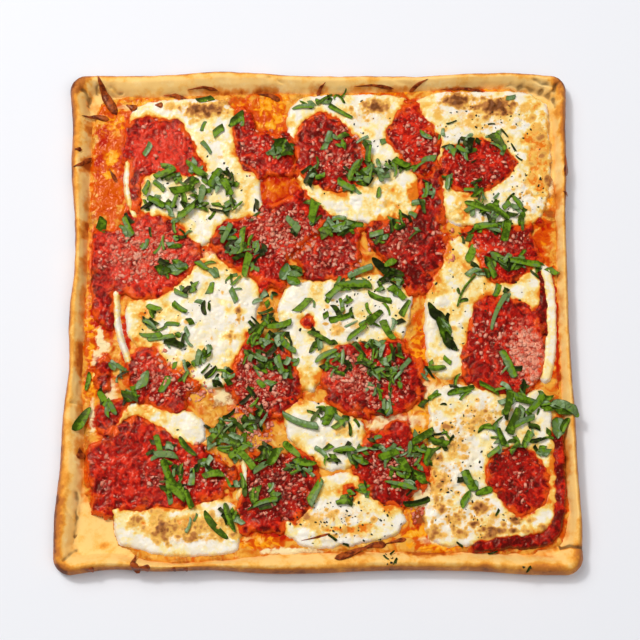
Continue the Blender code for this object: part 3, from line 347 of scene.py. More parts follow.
# White curds that stand up from the cheese: middle, reach and how many.
CURDS = (
    ((118, -92), (32, 34), 80), ((98, -140), (14, 36), 40), ((140, -168), (34, 7), 26),
    ((60, 96), (18, 18), 70), ((24, 88), (16, 10), 16), ((155, 96), (24, 18), 24),
    ((166, 140), (14, 30), 26), ((18, -94), (20, 14), 20), ((10, -165), (34, 12), 30),
    ((-100, -170), (44, 12), 34), ((-80, 0), (26, 40), 30), ((-112, 96), (30, 20), 20),
    ((100, 0), (12, 40), 20), ((10, 4), (36, 22), 24), ((112, 84), (16, 12), 14),
    ((130, 60), (26, 10), 12),
)
CURD_SIZE = (1.8, 5.0)
CURD_SEED = 91

# Drifts of basil shreds: middle, reach and how many.
DRIFTS = (
    ((-118, 113), (18, 9), 16), ((-95, 112), (16, 12), 22), ((-75, 110), (11, 10), 16),
    ((-125, 90), (14, 7), 14), ((-102, 92), (14, 10), 17), ((-80, 86), (12, 8), 10),
    ((-66, 89), (6, 4), 6), ((-105, 74), (10, 8), 8), ((-30, 137), (9, 7), 10),
    ((-66, 160), (6, 5), 3), ((-12, 174), (9, 3), 3), ((14, 176), (12, 6), 6),
    ((15, 143), (10, 6), 9), ((38, 141), (4, 5), 4), ((-5, 118), (9, 8), 13),
    ((30, 113), (13, 13), 30), ((46, 118), (10, 10), 16), ((68, 121), (13, 7), 16),
    ((88, 104), (6, 8), 5), ((116, 140), (13, 9), 20), ((143, 142), (7, 9), 9),
    ((104, 115), (9, 8), 6), ((126, 104), (9, 6), 8), ((124, 90), (12, 8), 10),
    ((148, 90), (14, 9), 12), ((146, 75), (17, 9), 22), ((-4, 84), (6, 8), 8),
    ((-20, 72), (7, 6), 5), ((18, 71), (16, 8), 26), ((45, 64), (8, 5), 6),
    ((68, 72), (11, 13), 16), ((84, 96), (6, 8), 5), ((-72, 60), (12, 11), 18),
    ((-55, 50), (13, 12), 24), ((-150, 70), (6, 9), 6), ((-128, 60), (12, 8), 7),
    ((-112, 58), (8, 6), 6), ((-114, 38), (13, 6), 8), ((-104, 20), (9, 5), 7),
    ((-84, 40), (8, 8), 5), ((-86, 12), (7, 8), 4), ((-63, 24), (8, 10), 6), ((-40, 12), (9, 8), 8),
    ((28, 24), (18, 5), 15), ((58, 24), (12, 7), 12), ((20, 6), (26, 9), 13),
    ((46, -4), (22, 10), 14), ((2, -18), (14, 8), 9), ((-42, -4), (14, 10), 18),
    ((-36, -18), (16, 10), 26), ((-44, -36), (16, 9), 24), ((-22, -42), (8, 9), 9),
    ((-130, -4), (10, 10), 14), ((-106, -8), (9, 10), 7), ((-112, -22), (12, 6), 8),
    ((-88, -34), (12, 8), 12), ((-78, -48), (13, 8), 18), ((-108, -44), (10, 10), 7),
    ((-155, -44), (7, 12), 8), ((-142, -62), (9, 6), 8), ((-164, -70), (6, 10), 5),
    ((16, -38), (13, 11), 18), ((42, -32), (16, 12), 28), ((46, -52), (16, 13), 28),
    ((62, -42), (12, 14), 16), ((52, -70), (12, 8), 10), ((82, -42), (6, 8), 5),
    ((-62, -84), (14, 9), 24), ((-48, -82), (10, 9), 10), ((-80, -94), (12, 9), 18),
    ((-66, -104), (14, 10), 22), ((-118, -106), (12, 8), 12), ((-112, -124), (11, 10), 15),
    ((-108, -140), (12, 8), 14), ((-84, -122), (10, 9), 9), ((-62, -132), (8, 12), 9),
    ((-66, -154), (8, 10), 9), ((-92, -158), (8, 10), 3), ((-36, -110), (13, 8), 17),
    ((-14, -118), (12, 8), 13), ((-40, -144), (14, 10), 14), ((-46, -58), (14, 12), 9),
    ((4, -80), (8, 8), 8), ((22, -86), (10, 7), 6), ((12, -108), (11, 8), 12),
    ((30, -112), (8, 8), 9), ((42, -100), (8, 7), 6), ((58, -110), (12, 8), 14),
    ((78, -102), (14, 9), 22), ((96, -98), (9, 7), 8), ((64, -128), (15, 11), 22),
    ((80, -120), (7, 10), 6), ((146, -64), (13, 6), 9), ((152, -80), (13, 9), 12),
    ((174, -72), (12, 8), 11), ((136, -90), (10, 8), 8), ((168, -92), (9, 8), 8),
    ((146, -102), (12, 6), 11), ((170, -106), (7, 7), 4), ((116, -130), (8, 8), 5),
    ((148, 44), (16, 8), 22), ((130, 38), (9, 9), 9), ((172, 40), (8, 8), 5),
    ((142, 18), (8, 8), 3), ((110, 12), (10, 14), 3), ((98, -14), (6, 16), 8),
    ((150, -40), (8, 12), 6), ((110, -58), (12, 7), 8), ((90, -68), (10, 8), 6),
    ((20, -142), (7, 5), 5), ((36, -136), (5, 6), 5), ((150, -60), (14, 6), 8),
    ((96, 150), (10, 10), 3), ((-50, 88), (12, 8), 4), ((122, 64), (10, 8), 6),
)

# Distinct shreds: middle, turn from +x in degrees, length, width and tone from dark to pale.
SHREDS = (
    ((-136, 136), 62, 12, 5, 0.9), ((-89, 138), -52, 13, 4, 0.8), ((-80, 152), 40, 11, 7, 0.5),
    ((-65, 162), 40, 15, 8, 0.3), ((-92, 156), 70, 9, 3, 0.7), ((-91, 179), 12, 14, 5, 0.3),
    ((-12, 172), 4, 18, 4, 0.8), ((5, 179), 34, 16, 3, 0.35), ((18, 168), -30, 22, 4, 0.5),
    ((21, 184), 60, 8, 2, 0.3), ((52, 143), 20, 5, 5, 0.7), ((155, 180), 10, 8, 4, 0.9),
    ((144, 142), -58, 18, 7, 0.3), ((86, 148), -30, 12, 5, 0.85), ((40, 132), 84, 16, 5, 0.4),
    ((140, 3), 66, 33, 4, 0.8), ((147, -39), -66, 24, 6, 0.75), ((140, 20), 70, 11, 5, 0.6),
    ((2, -18), -28, 22, 4, 0.4), ((6, -32), 28, 20, 5, 0.7), ((-14, -84), -20, 30, 6, 0.9),
    ((-150, 72), -64, 18, 5, 0.7), ((-171, 74), 80, 12, 8, 0.35), ((-113, 95), 74, 18, 4, 0.6),
    ((-2, -138), 62, 22, 7, 0.75), ((-78, -164), -48, 28, 6, 0.3), ((-67, -158), -70, 24, 5, 0.4),
    ((63, -133), -14, 26, 4, 0.7), ((75, -146), 12, 21, 5, 0.05), ((-96, -127), 86, 14, 5, 0.9),
    ((-80, -125), 10, 16, 6, 0.5), ((115, -130), -64, 18, 7, 0.6), ((112, -144), 58, 14, 6, 0.6),
    ((126, -138), 18, 14, 6, 0.5), ((-135, -52), 70, 16, 9, 0.85), ((-118, -55), 60, 15, 6, 0.6),
    ((-145, -64), -18, 14, 6, 0.25), ((-166, -66), -60, 14, 6, 0.6),
    ((-158, -74), -60, 12, 5, 0.75), ((19, -146), 6, 11, 5, 0.45), ((34, -136), -60, 9, 5, 0.6),
    ((33, 36), 24, 22, 6, 0.9), ((27, 24), 4, 30, 6, 0.6), ((-66, 16), -66, 12, 5, 0.85),
    ((-108, 6), -34, 14, 5, 0.6), ((-128, 6), -14, 12, 5, 0.6), ((-122, -18), 8, 22, 4, 0.75),
    ((-112, -23), -14, 16, 5, 0.02), ((-130, -16), 0, 18, 4, 0.7), ((-84, 22), 74, 10, 5, 0.6),
    ((12, 18), 40, 14, 6, 0.6), ((-12, 8), 44, 16, 6, 0.5), ((48, 14), -20, 20, 5, 0.4),
    ((62, 18), -40, 16, 6, 0.5), ((18, -2), 16, 20, 5, 0.5), ((30, -14), 36, 20, 5, 0.55),
    ((44, -2), 44, 16, 6, 0.35), ((54, -12), -60, 18, 6, 0.45), ((68, 6), 60, 15, 5, 0.4),
    ((-48, -16), 58, 18, 5, 0.5), ((-30, -8), 10, 20, 5, 0.6), ((-24, -24), -40, 18, 6, 0.7),
    ((-30, -40), -70, 15, 6, 0.85), ((-56, 40), 76, 20, 6, 0.5), ((-60, 60), 86, 22, 5, 0.55),
    ((-72, 66), 66, 18, 5, 0.8), ((-20, 74), -48, 16, 6, 0.8), ((-4, 84), 80, 18, 7, 0.5),
    ((12, 70), 12, 20, 6, 0.8), ((28, 74), -6, 16, 5, 0.5), ((46, 66), 14, 12, 5, 0.85),
    ((48, 100), 82, 9, 4, 0.5), ((28, 118), 64, 20, 5, 0.6), ((40, 116), 76, 18, 6, 0.7),
    ((22, 106), -30, 16, 6, 0.6), ((88, 128), 8, 12, 5, 0.8), ((66, 124), -24, 14, 6, 0.5),
    ((126, 88), -22, 22, 5, 0.45), ((142, 84), -34, 22, 5, 0.4), ((158, 92), -54, 14, 5, 0.6),
    ((148, 68), 78, 18, 7, 0.4), ((132, 72), 4, 20, 6, 0.6), ((120, 50), 66, 15, 7, 0.55),
    ((136, 36), -70, 14, 5, 0.5), ((162, 42), -8, 26, 5, 0.55), ((184, 36), -36, 9, 6, 0.7),
    ((112, 16), 68, 20, 2, 0.4), ((118, 26), 50, 16, 2, 0.4), ((100, -36), -40, 8, 4, 0.5),
    ((92, -42), 4, 14, 5, 0.4), ((110, -60), 12, 22, 5, 0.5), ((132, -58), -30, 18, 4, 0.4),
    ((156, -66), -20, 24, 6, 0.5), ((150, -84), 68, 22, 7, 0.3), ((140, -96), -70, 14, 5, 0.4),
    ((168, -70), 50, 20, 6, 0.6), ((160, -98), 62, 14, 6, 0.5), ((172, -108), -10, 10, 6, 0.85),
    ((134, -108), 34, 12, 4, 0.7), ((158, -84), 24, 18, 5, 0.8), ((146, -70), 76, 20, 6, 0.35),
    ((-100, -104), -46, 20, 5, 0.3), ((-122, -102), -74, 16, 5, 0.5),
    ((-116, -110), -4, 18, 6, 0.8), ((-114, -124), -66, 22, 6, 0.45),
    ((-108, -138), -40, 20, 6, 0.5), ((-98, -144), -70, 15, 5, 0.4), ((-70, -96), -30, 24, 7, 0.3),
    ((-60, -106), 34, 20, 5, 0.6), ((-78, -92), 54, 18, 6, 0.4), ((-54, -114), -50, 18, 6, 0.5),
    ((-34, -112), 62, 16, 7, 0.4), ((-20, -106), -40, 18, 6, 0.5), ((-10, -116), -10, 18, 6, 0.5),
    ((-44, -120), 34, 14, 5, 0.8), ((-40, -146), 16, 20, 4, 0.7), ((8, -80), 70, 16, 8, 0.5),
    ((16, -86), 40, 12, 5, 0.5), ((20, -106), 4, 18, 5, 0.6), ((32, -114), -30, 14, 5, 0.6),
    ((54, -110), 20, 16, 6, 0.5), ((66, -118), -60, 14, 6, 0.4), ((80, -96), 30, 20, 6, 0.35),
    ((92, -100), -20, 16, 5, 0.4), ((84, -112), 70, 14, 6, 0.4), ((-122, 116), 25, 18, 6, 0.55),
    ((-98, 120), -40, 20, 6, 0.5), ((-82, 112), 60, 18, 6, 0.6), ((-108, 102), 10, 18, 6, 0.45),
    ((-92, 98), 80, 16, 6, 0.85), ((-128, 92), -30, 16, 6, 0.6), ((-72, 104), -60, 16, 6, 0.5),
    ((-104, 84), 40, 18, 6, 0.55), ((-136, 104), 70, 12, 5, 0.6), ((-178, -52), 80, 15, 4, 0.5),
    ((-181, -82), 62, 22, 8, 0.35), ((107, 159), 20, 9, 1.6, 0.0), ((139, 158), 2, 6, 1.4, 0.0),
    ((149, 150), -50, 9, 1.5, 0.0), ((156, 138), -60, 8, 1.8, 0.0), ((160, 129), -40, 7, 1.6, 0.0),
    ((124, 126), 30, 5, 1.5, 0.0), ((11, -173), -35, 8, 2.2, 0.0), ((21, -178), -15, 5, 2.0, 0.0),
    ((107, -178), -35, 6, 1.8, 0.0), ((132, -184), 15, 8, 1.6, 0.0), ((136, -154), 60, 6, 2.0, 0.0),
    ((158, -197), 60, 6, 2.0, 0.0), ((58, -191), 60, 6, 1.8, 0.0), ((51, -188), -45, 5, 1.6, 0.0),
    ((56, -184), 40, 5, 1.6, 0.0),
)
SHRED_LENGTH = (4.5, 13.0)
SHRED_WIDTH = (1.6, 4.6)
SHRED_SHARE = 0.75
LISTED_NARROWING = 0.9
SHRED_SEED = 12

# How strips of leaf are made: the power that rounds their ends, points along and across them,
# thickness and how far they are crumpled.
SHRED_MAKE = {"power": 0.45, "stations": 9, "across": 4, "thickness": 0.2, "crumple": 0.0}
LEAF_MAKE = {"power": 0.7, "stations": 36, "across": 15, "thickness": 0.4, "crumple": 0.22}
# Shapes of their ends, from square to round, the least half width, and the degrees from which an
# edge looks sharp.
SQUARE_END, ROUND_END, LISTED_ROUND_END, LEAF_END = 36.0, 3.0, 3.5, 2.0
NARROWEST = 0.12
SHARP_FROM = 55

# How strips lie: the gap under them, the least height of an upper face over the ground, how many
# times their line is smoothed and how far it goes to its average each time, and how much each layer
# lifts the next, for how many layers.
STRIP_GAP = 0.25
STRIP_CLEARANCE = 0.15
BRIDGING = 3
STRAIGHTENING = 0.4
LAYER_RISE = 0.55
LAYERS_AT_MOST = 6

# Above the first height a leaf is pressed flatter, and rises by the second at the most.
PRESSED_FROM = 18.6
PRESSED_RISE = 1.3

# Large leaves, each of one or more blades: middle, length, width, turn, wave height and tone.
LEAVES = {
    "basil_leaf_grey": (
        ((-26, 35), 17, 8, 62, 1.4, 0.95), ((-19, 33), 15, 7, 10, 1.4, 0.8),
        ((-20, 28), 13, 7, -30, 1.4, 0.7), ((-17, 38), 12, 5, -34, 1.0, 0.2),
    ),
    "basil_leaf_dark": (
        ((92, 1), 22, 8, -50, 1.4, 0.0), ((98, -14), 26, 9, -72, 1.2, 0.3),
        ((103, -22), 18, 6, -60, 1.0, 0.0),
    ),
    "basil_leaf_rim": (
        ((180, -72), 14, 6, 34, 1.0, 0.5), ((186, -71), 17, 7, -4, 0.3, 0.95),
        ((188, -76), 16, 5, -24, 0.2, 0.3), ((195, -76), 14, 7, -38, 0.2, 0.8),
    ),
    "basil_leaf_below_rim": (
        ((184, -89), 18, 11, 82, 1.3, 0.92), ((189, -87), 13, 5, 60, 1.0, 0.4),
    ),
    "basil_leaf_centre": (
        ((50, 40), 19, 7, -40, 1.6, -0.1), ((58, 34), 20, 7, -14, 1.4, 0.1),
        ((54, 30), 15, 6, 24, 1.3, 0.0), ((57, 42), 12, 6, 20, 1.2, 0.5),
    ),
    "basil_leaf_west": (
        ((-112, 37), 21, 8, 6, 1.4, 0.9), ((-108, 40), 13, 7, -34, 1.2, 0.6),
        ((-122, 36), 14, 7, -14, 1.0, 0.3),
    ),
    "basil_leaf_north": (
        ((-30, 138), 16, 11, 60, 1.4, 0.4), ((-26, 134), 14, 9, -10, 1.2, 0.15),
        ((-34, 134), 12, 6, 20, 1.0, 0.8),
    ),
    "basil_leaf_east": (
        ((150, 41), 22, 9, -8, 1.2, 0.15), ((142, 45), 16, 8, -40, 1.2, 0.75),
    ),
}

# Grated hard cheese: middle, reach and how many grains.
GRAIN_DRIFTS = (
    ((-140, 48), (34, 24), 340), ((-30, 66), (34, 22), 380), ((60, 58), (22, 24), 70),
    ((12, 48), (22, 14), 130), ((161, -32), (13, 24), 210), ((140, -20), (22, 26), 120),
    ((40, -52), (32, 22), 320), ((-44, -52), (22, 22), 240), ((-54, -88), (20, 20), 300),
    ((-120, -48), (24, 20), 170), ((-30, -135), (22, 26), 150), ((60, -118), (20, 22), 150),
    ((-100, -122), (34, 22), 160), ((12, 132), (26, 26), 120), ((80, 140), (16, 24), 110),
    ((126, 122), (24, 18), 90), ((144, 56), (24, 16), 110), ((152, -128), (20, 22), 40),
    ((-44, 134), (20, 24), 90), ((-128, 138), (26, 24), 40), ((76, -154), (6, 8), 22),
    ((-160, -120), (14, 26), 30), ((-92, -60), (10, 8), 40), ((100, 60), (12, 20), 50),
)
GRAIN_SIZE = (1.3, 6.2)
GRAIN_SEED = 21

# Dried herb and pepper: middle, reach and how many specks.
SPECK_DRIFTS = (
    ((140, 150), (42, 30), 130), ((30, 150), (40, 36), 60), ((160, 100), (26, 20), 60),
    ((40, 5), (40, 26), 70), ((120, -120), (44, 56), 200), ((20, -160), (44, 18), 120),
    ((-100, 110), (44, 46), 70), ((-100, 0), (44, 50), 60), ((0, 0), (180, 180), 160),
    ((54, -190), (7, 7), 26), ((157, -196), (4, 2), 5), ((125, 20), (40, 60), 60),
)
SPECK_SIZE = (0.6, 3.3)
SPECK_SEED = 22

# Share of the grains and specks that is made, and their length, width and height to each other.
GRAIN_SHARE = 0.75
GRAIN_PROPORTIONS = (1.0, 0.62, 0.3)

# Tomato and cheese that splashed on the rim and browned: path points and width at the end. They
# taper towards the start.
DRIPS = (
    (((-176, 194), (-172, 183), (-164, 170)), 8.0), (((-187, 164), (-178, 165), (-170, 163)), 4.6),
    (((-152, 174), (-148, 172)), 6.0), (((-129, 174), (-127, 174)), 4.6),
    (((-192, 135), (-190, 135)), 3.6), (((-193, 121), (-188, 123), (-182, 129)), 3.6),
    (((-123, 183), (-116, 183), (-108, 181)), 3.6), (((5, 191), (2, 188), (0, 184)), 3.0),
    (((87, 194), (81, 191), (75, 187)), 3.2), (((-46, 184), (-38, 183), (-33, 180)), 5.0),
    (((-138, -188), (-139, -193), (-136, -197)), 5.6), (((-134, -196), (-128, -196)), 4.6),
    (((-171, -197), (-170, -197)), 3.4), (((-182, -107), (-181.5, -110)), 6.0),
    (((-109, -197), (-108, -197)), 3.0), (((-100, -197), (-99, -197)), 2.6),
    (((40, -179), (30, -182), (22, -186), (15, -188)), 5.6),
    (((33, -181), (42, -178), (49, -178)), 5.4), (((52, -177), (60, -175), (65, -174)), 3.6),
    (((-12, -175), (-2, -173), (8, -170)), 1.8), (((196.8, 129), (197.4, 122), (197.0, 115)), 4.0),
    (((195, 99.5), (197, 98.5)), 3.0), (((-166, 120), (-161, 111)), 3.2),
    (((100, 188), (118, 189), (132, 187)), 2.6), (((-104, 187), (-92, 189), (-82, 187)), 2.4),
    (((30, 189), (44, 190), (60, 188)), 2.2),
)
DRIP_STATIONS = 14
DRIP_AROUND = 10
# Share of the width at the start, places along the path where it is full and where the rounded ends
# stop and start, how much it wanders, how many half widths the sides may hang, and the height: a
# steady part and one for each half width.
DRIP_START, DRIP_FULL, DRIP_TAIL, DRIP_TIP = 0.24, 0.75, 0.12, 0.72
DRIP_WANDER, DRIP_SAG = 0.2, 2.2
DRIP_HEIGHT = (0.3, 0.15)

# Soft lights: place, size, power and whether the food's gloss mirrors them.
LIGHTS = {
    "key": ((-1.6, 1.7, 3.5), 2.8, 95.0, False),
    "spark": ((-1.2, 1.2, 2.4), 0.35, 30.0, True),
    "above": ((1.3, -0.8, 3.8), 3.0, 59.0, False),
}
LIGHT_TINT = (1.0, 0.975, 0.93)
SKY_STRENGTH = 0.12
FLOOR_SIZE = 8.0

# The photograph's view: degrees above the floor, metres away, and the point it looks at.
VIEW_ELEVATION = 76.4
VIEW_DISTANCE = 1.3286
VIEW_TARGET = (0.0017, -0.0027, 0.0)
LENS = 95
SENSOR_WIDTH = 36


def shifted(place):
    """A place in the photograph's frame, moved into the part's own frame."""
    return np.asarray(place, float) - PHOTO_MIDDLE


def smooth(low, high, value):
    """0 below low, 1 above high and the cubic 3t^2 - 2t^3 between them."""
    t = np.clip((value - low) / (high - low), 0, 1)
    return t * t * (3 - 2 * t)


def noise(x, y, wavelength, seed):
    """Gradient noise from -1 to 1: unit slopes at the corners of a square lattice, blended with the
    quintic 6t^5 - 15t^4 + 10t^3. Each use has a seed of its own."""
    draw = np.random.default_rng(seed)
    angle = draw.uniform(0, 2 * math.pi, (LATTICE, LATTICE))
    u = x / wavelength + LATTICE_SHIFT[0]
    v = y / wavelength + LATTICE_SHIFT[1]
    i, j = np.floor(u).astype(int), np.floor(v).astype(int)
    fu, fv = u - i, v - j
    wu = fu**3 * (fu * (fu * 6 - 15) + 10)
    wv = fv**3 * (fv * (fv * 6 - 15) + 10)

    def corner(di, dj):
        turn = angle[(i + di) % LATTICE, (j + dj) % LATTICE]
        return np.cos(turn) * (fu - di) + np.sin(turn) * (fv - dj)

    low = corner(0, 0) * (1 - wu) + corner(1, 0) * wu
    high = corner(0, 1) * (1 - wu) + corner(1, 1) * wu
    return 1.5 * (low * (1 - wv) + high * wv)


def waves(x, y, rows):
    """Sum of noises, each with its height, length and seed."""
    return sum(height * noise(x, y, length, seed) for height, length, seed in rows)


def layered(x, y, wavelength, seed, layers=3):
    """Sum of noises, each of half the length and half the height of the one before."""
    total = np.zeros_like(x)
    for layer in range(layers):
        total += noise(x, y, wavelength / 2**layer, seed + layer) / 2**layer
    return total / 1.5


def ridged(x, y, wavelength, seed, layers=2):
    """Crests from 0 to 1: one minus the absolute noise, squared, in layers."""
    total = np.zeros_like(x)
    weight = 0.0
    for layer in range(layers):
        total += (1 - np.abs(noise(x, y, wavelength / 2**layer, seed + layer)))**2 / 1.8**layer
        weight += 1 / 1.8**layer
    return total / weight


def spots(x, y, table, column=2):
    """Strongest of the table's soft ellipses at each point: its strength at the middle, falling to
    zero at the edge by a smooth step of the distance in reaches, with a noisy outline."""
    ragged = waves(x, y, SPOT_WAVES)
    strongest = np.zeros_like(x)
    for row in table:
        middle, reach = shifted(row[0]), row[1]
        away = np.hypot((x - middle[0]) / reach[0], (y - middle[1]) / reach[1])
        strongest = np.maximum(strongest, row[column] * smooth(*SPOT_FADE, away + ragged))
    return strongest


def dapples(field, drifts, size, seed):
    """Strongest of many small soft discs at each point of the grid: one minus the squared share of
    the radius, times a drawn strength. Most are near the smaller size."""
    draw = np.random.default_rng(seed)
    result = np.zeros(field.values.shape)
    for middle, reach, count in drifts:
        for place in in_disc(draw, middle, reach, count):
            radius = size[0] + (size[1] - size[0]) * draw.uniform()**2.5
            stretch = draw.uniform(0.7, 1.4)
            part_of = window(field, place, place, 1.6 * radius)
            dx = (field.axis[part_of[1]][None] - place[0]) / (radius * stretch)
            dy = (field.axis[part_of[0]][:, None] - place[1]) * stretch / radius
            disc = np.maximum(1 - dx**2 - dy**2, 0) * draw.uniform(0.15, 1.0)
            result[part_of] = np.maximum(result[part_of], disc)
    return result


def edges_of(node):
    """Start and end points in plan of the edges round the flat underside of a node of the frame."""
    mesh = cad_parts[node].data
    mesh.calc_loop_triangles()
    place = np.empty(len(mesh.vertices) * 3)
    mesh.vertices.foreach_get("co", place)
    place = place.reshape(-1, 3) / MM
    corner = np.empty(len(mesh.loop_triangles) * 3, int)
    mesh.loop_triangles.foreach_get("vertices", corner)
    welded, index = np.unique(np.round(place, 3), axis=0, return_inverse=True)
    corner = index.ravel()[corner].reshape(-1, 3)
    flat = corner[(welded[corner, 2] < welded[:, 2].min() + UNDERSIDE_SLACK).all(axis=1)]
    edge = np.concatenate([flat[:, [0, 1]], flat[:, [1, 2]], flat[:, [2, 0]]])
    count = len(welded)
    forward = edge[:, 0] * count + edge[:, 1]
    backward = edge[:, 1] * count + edge[:, 0]
    outer = edge[~np.isin(forward, backward)]
    return welded[outer[:, 0], :2], welded[outer[:, 1], :2]


def edge_distance(x, y, edges):
    """Signed distance in plan to closed edges, positive inside: the nearest point of any edge, and
    the parity of the edges crossed on the way to +x."""
    nearest = np.full(x.shape, 1e9)
    inside = np.zeros(x.shape, bool)
    for (ax, ay), (bx, by) in zip(*edges):
        run_x, run_y = bx - ax, by - ay
        share = np.clip(((x - ax) * run_x + (y - ay) * run_y) / (run_x**2 + run_y**2 + 1e-12), 0, 1)
        nearest = np.minimum(nearest, (x - ax - share * run_x)**2 + (y - ay - share * run_y)**2)
        if ay != by:
            crossed = ((ay > y) != (by > y)) & (x < run_x * (y - ay) / run_y + ax)
            inside ^= crossed
    return np.where(inside, 1, -1) * np.sqrt(nearest)


def warped(x, y):
    """The plan point moved by up to two millimetres of noise, which makes melted edges uneven."""
    return x + waves(x, y, MELT_WANDER_X), y + waves(x, y, MELT_WANDER_Y)


class Field:
    """Values on the shared square grid of the plan, read back between its points."""

    def __init__(self, start):
        side = int(2 * FIELD_REACH / PITCH) + 1
        self.axis = -FIELD_REACH + PITCH * np.arange(side)
        self.values = np.full((side, side), float(start))

    def blurred(self, radius):
        """Gaussian blur of that radius, as a product of transforms."""
        wave = np.fft.fftfreq(len(self.axis), PITCH)
        fall = np.exp(-2 * (math.pi * radius)**2 * (wave[:, None]**2 + wave[None]**2))
        result = Field(0)
        result.values = np.fft.ifft2(np.fft.fft2(self.values) * fall).real
        return result

    def at(self, x, y):
        """Bilinear reading at any plan points."""
        top = len(self.axis) - 1.001
        u = np.clip((np.asarray(x, float) + FIELD_REACH) / PITCH, 0, top)
        v = np.clip((np.asarray(y, float) + FIELD_REACH) / PITCH, 0, top)
        i, j = u.astype(int), v.astype(int)
        fu, fv = u - i, v - j
        low = self.values[j, i] * (1 - fu) + self.values[j, i + 1] * fu
        high = self.values[j + 1, i] * (1 - fu) + self.values[j + 1, i + 1] * fu
        return low * (1 - fv) + high * fv


def window(field, low, high, margin):
    """The rows and columns of the grid that cover a box of the plan with a margin."""
    start = np.searchsorted(field.axis, np.array(low) - margin)
    end = np.searchsorted(field.axis, np.array(high) + margin)
    return slice(start[1], end[1]), slice(start[0], end[0])


def add_mesh(name, points, faces, attributes=()):
    """A mesh object at the origin, from points in millimetres, faces and values at the points."""
    mesh = bpy.data.meshes.new(name)
    mesh.from_pydata((np.asarray(points) * MM).tolist(), [], faces)
    for label, values in dict(attributes).items():
        layer = mesh.attributes.new(label, "FLOAT", "POINT")
        layer.data.foreach_set("value", np.ascontiguousarray(values, np.float32).ravel())
    mesh.shade_smooth()
    mesh.validate()
    mesh.update()
    piece = bpy.data.objects.new(name, mesh)
    bpy.context.scene.collection.objects.link(piece)
    return piece


def grid_faces(rows, columns, start=0, closed=False):
    """Quads between neighbouring rows of points, anticlockwise if rows run up and columns right."""
    row = np.arange(rows - 1)[:, None] * columns
    column = np.arange(columns if closed else columns - 1)[None]
    following = (column + 1) % columns
    first = row + column
    second = row + following
    quads = np.stack([first, second, second + columns, first + columns], axis=-1)
    return (quads.reshape(-1, 4) + start).tolist()


def closed_pair(quads, count):
    """The quads, their reversed copy count points on, and the wall between the two: a quad at each
    edge that no other quad uses the other way round."""
    edge = np.concatenate([quads[:, [0, 1]], quads[:, [1, 2]], quads[:, [2, 3]], quads[:, [3, 0]]])
    outer = edge[~np.isin(edge[:, 0] * count + edge[:, 1], edge[:, 1] * count + edge[:, 0])]
    wall = np.stack([outer[:, 1], outer[:, 0], outer[:, 0] + count, outer[:, 1] + count], axis=-1)
    return np.concatenate([quads, quads[:, ::-1] + count, wall])


def sheet_from_grid(name, x, y, depth, top, under, attributes):
    """A closed sheet over the cells of a grid whose middles lie inside its outline.

    depth is the signed distance to the outline at the grid's points. The points on the border move
    onto the outline, along the slope of the distance, and a flat underside and a wall close it.
    """
    slope_y, slope_x = np.gradient(depth, PITCH)
    length = slope_x**2 + slope_y**2 + 1e-6
    middle = (depth[:-1, :-1] + depth[1:, :-1] + depth[:-1, 1:] + depth[1:, 1:]) / 4
    inside = middle > 0
    kept = np.zeros(depth.shape, int)
    for dj in (0, 1):
        for di in (0, 1):
            kept[dj:dj + inside.shape[0], di:di + inside.shape[1]] += inside
    border = (kept > 0) & (kept < 4)
    push = np.where(border, np.clip(depth, -PITCH, PITCH), 0) / np.maximum(length, 0.25)
    place = np.stack([x - push * slope_x, y - push * slope_y, top], axis=-1)
    number = np.full(depth.shape, -1)
    used = kept > 0
    count = int(used.sum())
    number[used] = np.arange(count)
    j, i = np.nonzero(inside)
    corners = ((j, i), (j, i + 1), (j + 1, i + 1), (j + 1, i))
    quads = np.stack([number[corner] for corner in corners], axis=-1)
    upper = place[used]
    lower = upper * [1, 1, 0] + [0, 0, under]
    faces = closed_pair(quads, count)
    doubled = {label: np.tile(values[used], 2) for label, values in attributes.items()}
    return add_mesh(name, np.concatenate([upper, lower]), faces.tolist(), doubled)


